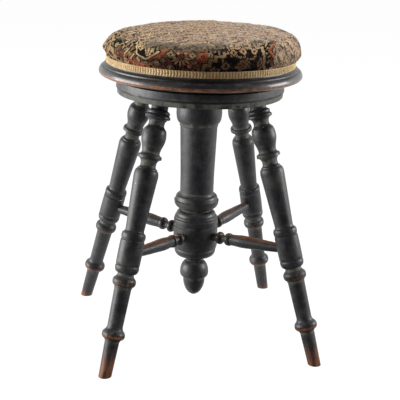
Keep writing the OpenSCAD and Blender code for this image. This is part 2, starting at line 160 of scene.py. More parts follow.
class Tree:
    """Builds a shader tree or a Geometry Nodes tree."""

    def __init__(self, tree: bpy.types.NodeTree) -> None:
        """Empties the tree that is to be built."""
        self.tree = tree
        tree.nodes.clear()

    def node(self, kind: str, sockets: Optional[Sockets] = None, **settings: Any) -> bpy.types.Node:
        """Adds a node.

        Args:
            kind: The node's type.
            sockets: Values or links, by the input's name or number.
            **settings: Properties of the node, and points for a curve. They are set first.

        Returns:
            The new node.
        """
        made = self.tree.nodes.new(kind)
        for name, value in settings.items():
            if name == "points":
                self._bend(made, value)
            else:
                setattr(made, name, value)
        for key, value in (sockets or {}).items():
            source = value.socket if isinstance(value, Number) else value
            if isinstance(source, Socket):
                self.tree.links.new(source, made.inputs[key])
            else:
                made.inputs[key].default_value = source
        return made

    @staticmethod
    def _bend(node: bpy.types.Node, points: Sequence[tuple[float, float]]) -> None:
        """Gives a Float Curve node straight stretches.

        Args:
            node: The node.
            points: The places between which the curve runs straight.
        """
        curve = node.mapping.curves[0]
        curve.points[0].location = points[0]
        curve.points[1].location = points[-1]
        for place in points[1:-1]:
            curve.points.new(*place)
        for point in curve.points:
            point.handle_type = "VECTOR"
        node.mapping.update()

    def number(self, node: bpy.types.Node, output: Union[str, int] = 0) -> Number:
        """Wraps one output of a node."""
        return Number(self, node.outputs[output])

    def maths(self, operation: str, *values: "Number | float") -> Number:
        """Adds a Math node."""
        return self.number(self.node("ShaderNodeMath", dict(enumerate(values)), operation=operation))

    def vector(self, operation: str, *values: Source, scale: "Number | float" = 1.0) -> Socket:
        """Adds a Vector Math node, whose fourth input is the scale, and returns its vector."""
        sockets = {**dict(enumerate(values)), 3: scale}
        return self.node("ShaderNodeVectorMath", sockets, operation=operation).outputs[0]

    def measure(self, operation: str, *values: Source) -> Number:
        """Adds a Vector Math node and returns its number, such as a length or a dot product."""
        node = self.node("ShaderNodeVectorMath", dict(enumerate(values)), operation=operation)
        return self.number(node, "Value")

    def split(self, vector: Socket) -> tuple[Number, Number, Number]:
        """Takes a vector apart."""
        node = self.node("ShaderNodeSeparateXYZ", {0: vector})
        return self.number(node, 0), self.number(node, 1), self.number(node, 2)

    def join(self, x: Source, y: Source, z: Source) -> Socket:
        """Makes a vector of three numbers."""
        return self.node("ShaderNodeCombineXYZ", {0: x, 1: y, 2: z}).outputs[0]

    def noise(self, place: Source, size: float, detail: float = 2.0, rough: float = 0.5) -> Number:
        """Adds cloudy noise.

        Args:
            place: The coordinates that carry it.
            size: The usual distance between its lumps, in metres.
            detail: How many finer layers are added.
            rough: How strong the finer layers are.

        Returns:
            A number round one half.
        """
        sockets = {"Vector": place, "Scale": 1 / size, "Detail": detail, "Roughness": rough}
        return self.number(self.node("ShaderNodeTexNoise", sockets))

    def blend(self, below: Source, above: Source, share: "Number | float") -> Socket:
        """Lays one colour over another by a share."""
        return self.node("ShaderNodeMix", {0: share, 6: below, 7: above}, data_type="RGBA").outputs[2]


class Paint(Tree):
    """The tree of one material, which ends in a Principled BSDF."""

    def __init__(self, name: str) -> None:
        """Starts an empty material.

        Args:
            name: Its name.
        """
        self.material = bpy.data.materials.new(name)
        self.material.use_nodes = True
        super().__init__(self.material.node_tree)
        self.place = self.node("ShaderNodeTexCoord").outputs["Object"]
        self.normal = self.node("ShaderNodeNewGeometry").outputs["Normal"]

    def finish(self, sockets: Sockets, height: Number, depth: float) -> bpy.types.Material:
        """Closes the tree.

        Args:
            sockets: What goes into the shader.
            height: The relief of the surface, round 0 to 1.
            depth: How deep that relief is, in metres.

        Returns:
            The finished material.
        """
        bump = self.node("ShaderNodeBump", {"Strength": 1.0, "Distance": depth, "Height": height})
        shader = self.node("ShaderNodeBsdfPrincipled", {**sockets, "Normal": bump.outputs[0]})
        self.node("ShaderNodeOutputMaterial", {"Surface": shader.outputs[0]})
        return self.material


def vertices_of(piece: bpy.types.Object) -> np.ndarray:
    """Reads a mesh's vertices.

    Args:
        piece: The mesh's object.

    Returns:
        A row of x, y and z for each vertex.
    """
    flat = np.empty(len(piece.data.vertices) * 3, np.float32)
    piece.data.vertices.foreach_get("co", flat)
    return flat.reshape(-1, 3).astype(float)


@dataclass(frozen=True)
class Turning:
    """The axis on which a piece was turned and how its outline swells along it.

    The swell is a row of pairs: a share of the length, and a number that is one half where the
    outline is straight, less in a hollow and more on a bead.
    """

    start: Vector
    axis: Vector
    length: float
    swell: tuple[tuple[float, float], ...]

    STEPS: ClassVar[int] = 160
    BORE_SHARE: ClassVar[float] = 0.45
    SWELL_REACH: ClassVar[float] = 3.5 * MM
    FULL_SWELL: ClassVar[float] = 5 * MM

    @classmethod
    def of_node(
        cls, node: bpy.types.Object, foot: Optional[Vector] = None, upright: bool = False
    ) -> "Turning":
        """Finds the axis of a turned piece from its mesh.

        Args:
            node: The frame's piece.
            foot: A point on the axis at the piece's first end, where that end is cut askew.
            upright: Whether the piece stands on the column's axis.

        Returns:
            The axis and the outline.
        """
        points = vertices_of(node)
        if upright:
            low, high = points[:, 2].min(), points[:, 2].max()
            return cls._traced(points, Vector((0, 0, low)), Vector((0, 0, high)))
        spread = points - points.mean(0)
        trend = np.linalg.eigh(spread.T @ spread)[1][:, -1]
        reach = spread @ (trend if trend[2] > 0 else -trend)
        first = foot or Vector(points[reach < reach.min() + MM].mean(0))
        last = Vector(points[reach > reach.max() - MM].mean(0))
        return cls._traced(points, first, last)

    @classmethod
    def _traced(cls, points: np.ndarray, first: Vector, last: Vector) -> "Turning":
        """Reads the outline from a mesh, apart from its bore.

        Args:
            points: The mesh's vertices.
            first: The axis's first end.
            last: Its other end.

        Returns:
            The axis and the outline.
        """
        axis = (last - first).normalized()
        length = (last - first).length
        along = (points - np.array(first)) @ np.array(axis)
        out = np.linalg.norm(points - np.array(first) - np.outer(along, np.array(axis)), axis=1)
        outer = out > cls.BORE_SHARE * out.max()
        bins = np.clip(along[outer] / length, 0, 1) * cls.STEPS
        radius = np.zeros(cls.STEPS + 1)
        np.maximum.at(radius, np.round(bins).astype(int), out[outer])
        steps = np.arange(cls.STEPS + 1)
        radius = np.interp(steps, steps[radius > 0], radius[radius > 0])
        sigma = cls.SWELL_REACH / length * cls.STEPS
        window = np.exp(-0.5 * (np.arange(-3 * sigma, 3 * sigma + 1) / sigma) ** 2)
        smooth = np.convolve(np.pad(radius, len(window) // 2, "edge"), window / window.sum(), "same")
        smooth = smooth[len(window) // 2:][: len(radius)]
        swell = np.clip(0.5 + (radius - smooth) / cls.FULL_SWELL, 0, 1)
        return cls(first, axis, length, tuple(zip((steps / cls.STEPS).tolist(), swell.tolist())))


@dataclass(frozen=True)
class Grain:
    """What the marks on a piece of turned wood follow.

    Attributes:
        along: Distance along the piece's axis.
        swell: How far the outline swells there, from 0 to 1.
        height: Height above the floor.
        facing_up: How far the surface faces up.
        facing_end: How far it faces the axis's far end.
        fibre: Coordinates drawn out along the fibres.
    """

    along: Number
    swell: Number
    height: Number
    facing_up: Number
    facing_end: Number
    fibre: Socket


@dataclass(frozen=True)
class EbonisedWood:
    """Black-stained turned wood, waxed, dusty in its quirks and rubbed brown where it is touched.

    Attributes:
        name: Name of the material.
        turning: The piece's axis and outline.
        grain: Direction of the fibres.
        rub: How far the beads are rubbed brown.
        rub_low: Height above the floor up to which they are rubbed most.
        rub_high: Height from which they are rubbed least.
        rub_least: What share of the rubbing they get there.
        worn_foot: Length of the bare foot.
        worn_top: How far the upper side is trodden bare.
        worn_lip: Height of a bare band round the piece.
        worn_side: The side on which that band is barest.
        seams: Heights of dark lines, which are dirt and painted shade in joints and undercuts.
        polish: Strength of the wax.
        dusty: Strength of the dust.
    """

    name: str
    turning: Turning
    grain: Triple
    rub: float = 1.0
    rub_low: float = 0.15
    rub_high: float = 0.27
    rub_least: float = 0.45
    worn_foot: float = 0.0
    worn_top: float = 0.0
    worn_lip: Optional[float] = None
    worn_side: Triple = (-0.45, -1.0, 0.0)
    seams: tuple[float, ...] = ()
    polish: float = 0.25
    dusty: float = 0.5

    BLACK: ClassVar[Colour] = srgb(28, 28, 32)
    FADED_BLACK: ClassVar[Colour] = srgb(60, 60, 65)
    PORE: ClassVar[Colour] = srgb(9, 8, 10)
    STREAK: ClassVar[Colour] = srgb(78, 75, 72)
    DUST: ClassVar[Colour] = srgb(120, 118, 106)
    # Dirt and painted shade in joints and undercuts.
    SEAM_DIRT_AND_SHADE: ClassVar[Colour] = srgb(6, 6, 7)
    BROWN: ClassVar[Colour] = srgb(108, 60, 34)
    BARE: ClassVar[Colour] = srgb(222, 134, 66)
    NICK: ClassVar[Colour] = srgb(196, 172, 140)
    FIBRE_STRETCH: ClassVar[float] = 0.94
    SEAM_DIRT_AND_SHADE_EDGES: ClassVar[tuple[float, float]] = (2.7 * MM, 1.2 * MM)
    LIP_EDGES: ClassVar[tuple[float, float]] = (4.6 * MM, 2.8 * MM)
    KNOCKED_HEIGHTS: ClassVar[tuple[float, float]] = (190 * MM, 100 * MM)
    NICK_SPACING: ClassVar[float] = 17 * MM
    RELIEF: ClassVar[float] = 0.13 * MM

    def material(self) -> bpy.types.Material:
        """Builds the material.

        Returns:
            The wood's material.
        """
        paint = Paint(self.name)
        marks = self._marks(paint)
        mottle = paint.noise(paint.place, 14 * MM, 4, 0.62)
        grain = paint.noise(marks.fibre, 1.6 * MM, 3, 0.6)
        dust = self._dust(paint, marks, mottle)
        rub = self._rubbed(paint, marks)
        nicks = self._nicks(paint)

        black = self._stained(paint, marks, mottle, grain, dust)
        patches = paint.noise(marks.fibre, 2.5 * MM, 3, 0.7).eased(0.34, 0.66)
        colour = paint.blend(black, paint.blend(self.BROWN, self.BARE, patches), rub)
        colour = paint.blend(colour, self.NICK, nicks * 0.8)
        waxed = (marks.swell.eased(0.48, 0.75) * 0.45 + 0.55) * self.polish * (1 - dust * 0.8)
        sockets = {
            "Base Color": colour,
            "Roughness": 0.44 + mottle * 0.10 + dust * 0.4 + rub * 0.06,
            "Coat Weight": waxed,
            "Coat Roughness": 0.18,
        }
        relief = grain * 0.5 + paint.noise(paint.place, 5 * MM, 2) * 0.8 - nicks * 0.6
        return paint.finish(sockets, relief, self.RELIEF)

    def _marks(self, paint: Paint) -> Grain:
        """Measures what the marks follow.

        Args:
            paint: The material's tree.

        Returns:
            The measures.
        """
        start = paint.vector("SUBTRACT", paint.place, tuple(self.turning.start))
        along = paint.measure("DOT_PRODUCT", start, tuple(self.turning.axis))
        drawn = paint.measure("DOT_PRODUCT", start, self.grain) * self.FIBRE_STRETCH
        share = {"Value": along / self.turning.length}
        return Grain(
            along=along,
            swell=paint.number(paint.node("ShaderNodeFloatCurve", share, points=self.turning.swell)),
            height=paint.split(paint.place)[2],
            facing_up=paint.split(paint.normal)[2],
            facing_end=paint.measure("DOT_PRODUCT", paint.normal, tuple(self.turning.axis)),
            fibre=paint.vector("SUBTRACT", start, paint.vector("SCALE", self.grain, scale=drawn)),
        )

    def _dust(self, paint: Paint, marks: Grain, mottle: Number) -> Number:
        """Works out where dust lies: in the hollows, on what faces up and as a thin film.

        Args:
            paint: The material's tree.
            marks: What the marks follow.
            mottle: The stain's own clouds.

        Returns:
            A mask from 0 to 1.
        """
        # On the base plate the given swell makes the lower band a hollow, so this paints it pale: dust, and a
        # painted reflection of the floor.
        hollow = marks.swell.eased(0.47, 0.30) * paint.noise(paint.place, 14 * MM, 4, 0.6).eased(0.35, 0.65)
        lying = marks.facing_up.eased(0.35, 0.95) * mottle.eased(0.35, 0.75)
        film = paint.noise(paint.place, 34 * MM, 5, 0.65).eased(0.45, 0.75)
        return (hollow * self.dusty).most(lying * 0.3).most(film * self.dusty * 0.4)

    def _stained(self, paint: Paint, marks: Grain, mottle: Number, grain: Number, dust: Number) -> Socket:
        """Mixes the black stain with its pores, streaks and dust, and with seam lines of dirt and painted
        shade.

        Args:
            paint: The material's tree.
            marks: What the marks follow.
            mottle: The stain's own clouds.
            grain: The fibres.
            dust: Where dust lies.

        Returns:
            The colour.
        """
        specks = paint.noise(paint.place, 3.0 * MM, 3, 0.72)
        black = paint.blend(self.BLACK, self.FADED_BLACK, mottle.eased(0.33, 0.70))
        black = paint.blend(black, self.PORE, specks.eased(0.51, 0.59) * mottle.eased(0.40, 0.60) * 0.9)
        black = paint.blend(black, self.STREAK, grain.eased(0.56, 0.70) * 0.42)
        black = paint.blend(black, self.DUST, dust)
        # Dark lines at the seams: dirt, and painted shade in the undercut under a ledge.
        for seam in self.seams:
            black = paint.blend(black, self.SEAM_DIRT_AND_SHADE, abs(marks.height - seam).eased(*self.SEAM_DIRT_AND_SHADE_EDGES) * 0.9)
        return black

    def _rubbed(self, paint: Paint, marks: Grain) -> Number:
        """Works out where the black is rubbed through.

        Args:
            paint: The material's tree.
            marks: What the marks follow.

        Returns:
            A mask from 0 to 1.
        """
        patches = paint.noise(paint.place, 7 * MM, 4, 0.65)
        touched = marks.height.mapped(self.rub_low, self.rub_high, 1.0, self.rub_least)
        crest = marks.swell.eased(0.51, 0.63) * touched * (0.55 + 0.6 * marks.facing_end.eased(0.2, -0.5))
        rub = (crest * self.rub * (0.10 + patches * 1.35)).eased(0.42, 0.82) * 0.85
        if self.worn_foot:
            streaks = paint.noise(marks.fibre, 5 * MM, 4, 0.7)
            bare = marks.along.eased(self.worn_foot, 0.0) * 0.75 + streaks * 1.5 - 0.75
            chips = paint.noise(marks.fibre, 13 * MM, 3, 0.55)
            knocked = chips.eased(0.64, 0.72) * marks.height.eased(*self.KNOCKED_HEIGHTS)
            rub = rub.most(bare.eased(0.22, 0.80) * 0.42).most(knocked * 0.5)
        if self.worn_top:
            streaks = paint.noise(marks.fibre, 10 * MM, 3)
            trodden = marks.facing_up.eased(0.45, 0.95) * (0.4 + streaks * 1.2) * self.worn_top
            rub = rub.most(trodden.eased(0.25, 1.0) * 0.46)
        if self.worn_lip is not None:
            lip = abs(marks.height - self.worn_lip).eased(*self.LIP_EDGES)
            lip = lip * marks.facing_up.eased(-0.95, -0.6)
            side = paint.measure("DOT_PRODUCT", paint.vector("NORMALIZE", paint.place), self.worn_side)
            streaks = paint.noise(paint.place, 24 * MM, 4, 0.6).eased(0.30, 0.60)
            rub = rub.most(lip * (side.eased(-0.4, 0.8) * 0.9 + 0.1) * (0.45 + streaks * 0.55))
        return rub

    def _nicks(self, paint: Paint) -> Number:
        """Scatters a few small pale dents.

        Args:
            paint: The material's tree.

        Returns:
            A mask from 0 to 1.
        """
        cells = paint.node("ShaderNodeTexVoronoi", {"Vector": paint.place, "Scale": 1 / self.NICK_SPACING})
        chosen = paint.split(cells.outputs["Color"])[0].eased(0.86, 0.90)
        return paint.number(cells, "Distance").eased(0.075, 0.035) * chosen


@dataclass(frozen=True)
class Metal:
    """Old bare metal with a mottled skin."""

    name: str
    clean: Colour
    dull: Colour
    metallic: float
    roughness: float
    pit: float = 4 * MM

    RELIEF: ClassVar[float] = 0.12 * MM

    def material(self) -> bpy.types.Material:
        """Builds the material.

        Returns:
            The metal's material.
        """
        paint = Paint(self.name)
        skin = paint.noise(paint.place, self.pit, 4, 0.65)
        sockets = {
            "Base Color": paint.blend(self.clean, self.dull, skin.eased(0.38, 0.62)),
            "Roughness": self.roughness + skin * 0.22,
            "Metallic": self.metallic,
        }
        return paint.finish(sockets, paint.noise(paint.place, 1.2 * MM, 3, 0.6), self.RELIEF)


@dataclass(frozen=True)
class BraidYarn:
    """Straw-coloured silk and cotton of the gimp, with painted shade in the gaps between its ribs' crests."""

    inner: float
    outer: float

    STRAW: ClassVar[Colour] = srgb(232, 196, 138)
    PALE: ClassVar[Colour] = srgb(250, 224, 172)
    SOIL: ClassVar[Colour] = srgb(170, 122, 74)
    # Soil from hands, and painted shade on the front.
    HANDLED_AND_SHADED: ClassVar[Colour] = srgb(150, 104, 64)
    # Painted shade in the gaps between the ribs.
    GAP_SHADE: ClassVar[Colour] = srgb(182, 142, 92)
    RELIEF: ClassVar[float] = 0.15 * MM

    def material(self) -> bpy.types.Material:
        """Builds the material, which is darkest at the front, with soil and painted shade.

        Returns:
            The braid's material.
        """
        paint = Paint("gimp_yarn")
        x, y, _ = paint.split(paint.place)
        # Painted shade: the yarn darkens from the gaps' depth out to the crests.
        crest = ((x * x + y * y) ** 0.5).eased(self.inner, self.outer)
        soil = paint.noise(paint.place, 26 * MM, 3, 0.6)
        yarn = paint.blend(self.STRAW, self.PALE, paint.noise(paint.place, 3 * MM, 2).eased(0.35, 0.65))
        yarn = paint.blend(yarn, self.SOIL, soil.eased(0.42, 0.70) * 0.5)
        # Darker at the front: soiled by hands, and painted shade on the side the lamps hardly reach.
        yarn = paint.blend(yarn, self.HANDLED_AND_SHADED, (y / self.outer).eased(-0.90, -1.0) * 0.45)
        sockets = {
            "Base Color": paint.blend(self.GAP_SHADE, yarn, crest),
            "Roughness": 0.62,
            "Sheen Weight": 0.25,
            "Sheen Roughness": 0.4,
        }
        return paint.finish(sockets, paint.noise(paint.place, 0.5 * MM, 2), self.RELIEF)


@dataclass(frozen=True)
class CarpetYarn:
    """Cut wool pile, whose colours the mesh carries knot by knot."""

    knot: float

    COLOURS: ClassVar[str] = "knot_colour"
    WEAVE: ClassVar[str] = "weave"
    WEAVE_SPAN: ClassVar[float] = 0.5
    # Painted shade between the knots.
    GAP_SHADE: ClassVar[Colour] = srgb(40, 30, 24)
    FLUFF: ClassVar[Colour] = srgb(190, 170, 140)
    RELIEF: ClassVar[float] = 0.45 * MM

    def material(self) -> bpy.types.Material:
        """Builds the material.

        Returns:
            The cover's material.
        """
        paint = Paint("carpet_pile")
        knots = paint.node("ShaderNodeAttribute", attribute_name=self.COLOURS).outputs["Color"]
        across, up, _ = paint.split(paint.node("ShaderNodeUVMap", uv_map=self.WEAVE).outputs[0])
        row, column = (
            abs((place * (self.WEAVE_SPAN / self.knot)).fraction() - 0.5) * 2 for place in (up, across)
        )
        # Dark lines between the rows and columns of knots: painted shade in the gaps of the pile.
        gap = row.eased(0.55, 1.0).most(column.eased(0.7, 1.0) * 0.5)
        fluff = paint.noise(paint.place, 0.9 * MM, 3, 0.7)
        colour = paint.blend(knots, self.GAP_SHADE, gap * 0.3)
        sockets = {
            "Base Color": paint.blend(colour, self.FLUFF, fluff.eased(0.58, 0.85) * 0.08),
            "Roughness": 0.9,
            "Specular IOR Level": 0.08,
            "Sheen Weight": 0.04,
            "Sheen Roughness": 0.5,
        }
        return paint.finish(sockets, fluff * 0.7 - gap * 0.5, self.RELIEF)


class SmoothSkin:
    """A modifier that joins a frame mesh's loose triangles and rounds its shading."""

    def __init__(self, sharp: float = math.radians(33), gap: float = 0.02 * MM) -> None:
        """Builds the tree.

        Args:
            sharp: Angle past which an edge stays crisp.
            gap: Distance within which two vertices are one.
        """
        self.group = bpy.data.node_groups.new("smooth_skin", "GeometryNodeTree")
        for name, way in (("Mesh", "INPUT"), ("Mesh", "OUTPUT")):
            self.group.interface.new_socket(name, in_out=way, socket_type="NodeSocketGeometry")
        for name, value in (("Gap", gap), ("Sharp angle", sharp)):
            made = self.group.interface.new_socket(name, in_out="INPUT", socket_type="NodeSocketFloat")
            made.default_value = value
        tree = Tree(self.group)
        given = tree.node("NodeGroupInput").outputs
        merged = {"Geometry": given["Mesh"], "Distance": given["Gap"]}
        joined = tree.node("GeometryNodeMergeByDistance", merged).outputs[0]
        named = {"Geometry": joined, "Name": "custom_normal"}
        bare = tree.node("GeometryNodeRemoveAttribute", named).outputs[0]
        faces = tree.node("GeometryNodeSetShadeSmooth", {"Geometry": bare}, domain="FACE").outputs[0]
        fold = tree.number(tree.node("GeometryNodeInputMeshEdgeAngle"))
        soft = tree.maths("LESS_THAN", fold, Number(tree, given["Sharp angle"]))
        shaded = {"Geometry": faces, "Shade Smooth": soft}
        edges = tree.node("GeometryNodeSetShadeSmooth", shaded, domain="EDGE").outputs[0]
        tree.node("NodeGroupOutput", {0: edges})

    def apply_to(self, piece: bpy.types.Object) -> None:
        """Adds the modifier to a piece."""
        piece.modifiers.new("smooth_skin", "NODES").node_group = self.group


def dress(node: bpy.types.Object, material: bpy.types.Material, skin: SmoothSkin) -> None:
    """Gives a frame piece its finish.

    Args:
        node: The frame's piece.
        material: Its finish.
        skin: The modifier that rounds its shading.
    """
    for slot in node.material_slots:
        slot.material = material
    skin.apply_to(node)
    LOG.info("dressed %s with %s", node.name, material.name)


def linked(thing: bpy.types.Object) -> bpy.types.Object:
    """Puts an object in the scene."""
    bpy.context.scene.collection.objects.link(thing)
    return thing


def new_piece(name: str, mesh: bpy.types.Mesh) -> bpy.types.Object:
    """Makes a mesh a piece of the scene."""
    return linked(bpy.data.objects.new(name, mesh))


def frozen(piece: bpy.types.Object) -> bpy.types.Mesh:
    """Copies a piece's mesh as its modifiers leave it."""
    graph = bpy.context.evaluated_depsgraph_get()
    return bpy.data.meshes.new_from_object(piece.evaluated_get(graph), depsgraph=graph)


def grown(name: str, group: bpy.types.NodeTree, inputs: Mapping[str, Any]) -> bpy.types.Object:
    """Runs a Geometry Nodes tree once and keeps its result as a plain mesh.

    Args:
        name: Name of the piece.
        group: The tree.
        inputs: The tree's inputs by name.

    Returns:
        The new piece, with no modifier on it.
    """
    seed = new_piece(name + "_seed", bpy.data.meshes.new(name))
    modifier = seed.modifiers.new(name, "NODES")
    modifier.node_group = group
    for item in group.interface.items_tree:
        if item.item_type == "SOCKET" and item.in_out == "INPUT" and item.name in inputs:
            modifier[item.identifier] = inputs[item.name]
    mesh = frozen(seed)
    bpy.data.objects.remove(seed)
    mesh.name = name
    return new_piece(name, mesh)


class Growth(Tree):
    """A Geometry Nodes tree with named inputs that makes a mesh from nothing."""

    def __init__(self, name: str, sizes: Sequence[str], counts: Sequence[str]) -> None:
        """Starts the tree, and gives it an input for its finish as well.

        Args:
            name: Name of the tree.
            sizes: Names of the inputs that are lengths.
            counts: Names of the inputs that are whole numbers.
        """
        self.group = bpy.data.node_groups.new(name, "GeometryNodeTree")
        self.group.interface.new_socket("Mesh", in_out="OUTPUT", socket_type="NodeSocketGeometry")
        kinds = {"NodeSocketFloat": sizes, "NodeSocketInt": counts, "NodeSocketMaterial": ("Finish",)}
        for kind, labels in kinds.items():
            for label in labels:
                self.group.interface.new_socket(label, in_out="INPUT", socket_type=kind)
        super().__init__(self.group)
        self.given = self.node("NodeGroupInput").outputs

    def value(self, name: str) -> Number:
        """Wraps one of the tree's inputs."""
        return Number(self, self.given[name])

    def round_place(self, radius: Number, angle: Number, height: Number) -> Socket:
        """Finds the place at a radius, an angle and a height round the seat's axis."""
        return self.join(radius * self.maths("COSINE", angle), radius * self.maths("SINE", angle), height)

    def close(self, shapes: Sequence[Socket]) -> bpy.types.NodeTree:
        """Joins the shapes, makes instances real and sets the material.

        Args:
            shapes: Geometry outputs.

        Returns:
            The finished tree.
        """
        joined = self.node("GeometryNodeJoinGeometry")
        for shape in reversed(shapes):
            self.tree.links.new(shape, joined.inputs[0])
        real = self.node("GeometryNodeRealizeInstances", {0: joined.outputs[0]})
        smooth = self.node("GeometryNodeSetShadeSmooth", {0: real.outputs[0]}).outputs[0]
        dressed = self.node("GeometryNodeSetMaterial", {"Geometry": smooth, "Material": self.given["Finish"]})
        self.node("NodeGroupOutput", {0: dressed.outputs[0]})
        return self.group


@dataclass
class Stand:
    """The part that stays still: base plate, column, finial, legs and stretchers.

    The front feet are bare over a longer stretch than the back ones. The base plate's step lies
    at a share of its thickness, with a dark line of dirt and painted shade. Its swell is given up
    its edge, and is low on the lower band, so that the dust mask paints that band pale: dust and
    a painted reflection of the white floor.
    """

    nodes: Mapping[str, bpy.types.Object]
    feet: Mapping[str, Vector]
    skin: SmoothSkin
    bare_front: float = 62 * MM
    bare_back: float = 22 * MM
    plate_step: float = 0.43
    # Low on the lower band, so that the dust mask paints it pale: dust, and a painted reflection of the
    # floor.
    plate_dust_and_reflection_swell: tuple[tuple[float, float], ...] = (
        (0.0, 0.28), (0.38, 0.30), (0.45, 0.36), (0.62, 0.42), (0.75, 0.5), (1.0, 0.5)
    )

    def build(self) -> None:
        """Dresses every turned piece."""
        for side in ("front_left", "front_right", "back_right", "back_left"):
            front = side.startswith("front")
            leg = Turning.of_node(self.nodes["leg_" + side], foot=self.feet["foot_" + side])
            bare = self.bare_front if front else self.bare_back
            self._dress("leg_" + side, leg, tuple(leg.axis), worn_foot=bare, dusty=0.8, polish=0.2)
            stretcher = Turning.of_node(self.nodes["stretcher_" + side])
            self._dress(
                "stretcher_" + side, stretcher, tuple(stretcher.axis), worn_top=1.0 if front else 0.55,
                rub=0.5, rub_high=0.5, rub_least=0.6,
            )
        self._dress("column", Turning.of_node(self.nodes["column"], upright=True), UP, rub=0.3, dusty=0.8)
        self._dress("finial", Turning.of_node(self.nodes["finial"], upright=True), UP, rub=0.3)
        low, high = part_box("base_plate")
        thick = high.z - low.z
        plate = Turning(Vector((0, 0, low.z)), Vector(UP), thick, self.plate_dust_and_reflection_swell)
        step = low.z + self.plate_step * thick
        self._dress("base_plate", plate, ACROSS, rub=0.0, dusty=0.9, seams=(step,))

    def _dress(self, name: str, turning: Turning, grain: Triple, **wear: Any) -> None:
        """Gives one piece its wood.

        Args:
            name: Name of the frame's piece.
            turning: Its axis and outline.
            grain: Direction of its fibres.
            **wear: The wood's other fields.
        """
        wood = EbonisedWood(name + "_wood", turning, grain, **wear)
        dress(self.nodes[name], wood.material(), self.skin)


@dataclass
class Ironwork:
    """The screw that carries the seat, its nut, its flange and their screws.

    The thread has a pitch and a depth. Over it the spindle has a plain neck, and an end of the
    rivet's radius that is riveted over in the flange.
    """

    nodes: Mapping[str, bpy.types.Object]
    skin: SmoothSkin
    pitch: float
    depth: float = 2 * MM
    around: int = 56
    steps_per_turn: int = 14
    neck: float = 6 * MM
    rivet: float = 10 * MM
    rivet_head: float = 13 * MM
    weld: float = 0.01 * MM

    def build(self) -> bpy.types.Object:
        """Makes the threaded spindle and dresses the rest.

        Returns:
            The spindle.
        """
        iron = Metal("cast_iron", srgb(74, 71, 67), srgb(52, 44, 38), 0.55, 0.42).material()
        bright = Metal("screw_steel", srgb(150, 146, 138), srgb(112, 100, 86), 0.9, 0.3, 2 * MM).material()
        brass = Metal("pin_brass", srgb(198, 170, 120), srgb(168, 138, 92), 0.35, 0.55, 1 * MM).material()
        finishes = (
            (iron, ("spindle_nut", "seat_flange", "stop_washer")),
            (bright, ("nut_screws", "flange_screws", "stop_screw")),
            (brass, ("gimp_pins",)),
        )
        for finish, names in finishes:
            for name in names:
                dress(self.nodes[name], finish, self.skin)
        return self._spindle(iron)

    def _thread_tree(self) -> bpy.types.NodeTree:
        """Builds the tree that winds a right-hand thread on a round bar.

        Returns:
            The tree. It bends a flat grid into the bar, whose radius follows the thread.
        """
        sizes = ("Crest", "Root", "Pitch", "Bottom", "Top")
        tree = Growth("right_hand_thread", sizes, ("Around", "Rows"))
        crest, root, pitch, bottom, top = (tree.value(name) for name in sizes)
        columns = tree.value("Around") + 1
        flat = {"Size X": 1.0, "Size Y": 1.0, "Vertices X": columns, "Vertices Y": tree.value("Rows")}
        grid = tree.node("GeometryNodeMeshGrid", flat).outputs["Mesh"]
        across, up, _ = tree.split(tree.node("GeometryNodeInputPosition").outputs[0])
        turn = across + 0.5
        share = up + 0.5
        height = bottom + (top - bottom) * share
        phase = (height / pitch - turn).fraction()
        ridge = phase.mapped(0.15, 0.35, 0, 1).least(phase.mapped(0.85, 0.65, 0, 1))
        run_out = ((top - height) / pitch).least((height - bottom) / pitch).mapped(0.0, 0.6, 0, 1)
        closed = tree.maths("COMPARE", share, 0.5, 0.4999)
        radius = (root + (crest - root) * ridge * run_out) * closed
        place = tree.round_place(radius, turn * (2 * math.pi), height)
        bent = tree.node("GeometryNodeSetPosition", {"Geometry": grid, "Position": place}).outputs[0]
        merged = {"Geometry": bent, "Distance": self.weld}
        return tree.close([tree.node("GeometryNodeMergeByDistance", merged).outputs[0]])

    def _spindle(self, iron: bpy.types.Material) -> bpy.types.Object:
        """Makes the spindle: its thread by rule, its neck and riveted head turned.

        Args:
            iron: Its finish.

        Returns:
            The spindle.
        """
        low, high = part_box("screw_spindle")
        crest = high.x
        root = crest - self.depth
        flange_low, flange_high = (corner.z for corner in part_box("seat_flange"))
        thread_top = flange_low - self.neck
        rows = round((thread_top - low.z) / self.pitch * self.steps_per_turn)
        sizes = {
            "Crest": crest, "Root": root, "Pitch": self.pitch, "Bottom": low.z, "Top": thread_top,
            "Around": self.around, "Rows": rows, "Finish": iron,
        }
        spindle = grown("threaded_spindle", self._thread_tree(), sizes)
        outline = [
            (0, thread_top - self.depth), (root, thread_top - self.depth), (crest, thread_top),
            (crest, flange_low), (self.rivet, flange_low), (self.rivet, flange_high),
            (self.rivet_head, flange_high), (self.rivet, high.z), (0, high.z),
        ]
        shape = bmesh.new()
        shape.from_mesh(spindle.data)
        self._turn(shape, outline)
        shape.to_mesh(spindle.data)
        shape.free()
        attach(spindle, "seat")
        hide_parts("screw_spindle")
        LOG.info("made %s with %d rows of thread", spindle.name, rows)
        return spindle

    def _turn(self, shape: bmesh.types.BMesh, outline: Sequence[tuple[float, float]]) -> None:
        """Adds a closed turned shape whose outline starts and ends on the axis.

        Args:
            shape: The mesh that it is added to.
            outline: Radius and height of each point.
        """
        rings = []
        for radius, height in outline:
            turns = [2 * math.pi * i / self.around for i in range(self.around if radius else 1)]
            places = [(radius * math.cos(turn), radius * math.sin(turn), height) for turn in turns]
            rings.append([shape.verts.new(place) for place in places])
        for below, above in zip(rings, rings[1:]):
            for i in range(self.around):
                j = (i + 1) % self.around
                corners = (
                    below[i % len(below)], below[j % len(below)], above[j % len(above)], above[i % len(above)]
                )
                shape.faces.new(dict.fromkeys(corners))


class Yarn(Enum):
    """The dyed wools of the cover, as red, green and blue from 0 to 255."""

    INK = (14, 9, 8)
    RUST = (176, 102, 70)
    BRICK = (124, 66, 50)
    CREAM = (212, 188, 140)
    SAGE = (130, 122, 88)
    SAND = (184, 154, 116)
    PLUM = (84, 56, 54)
    SOOT = (66, 62, 54)


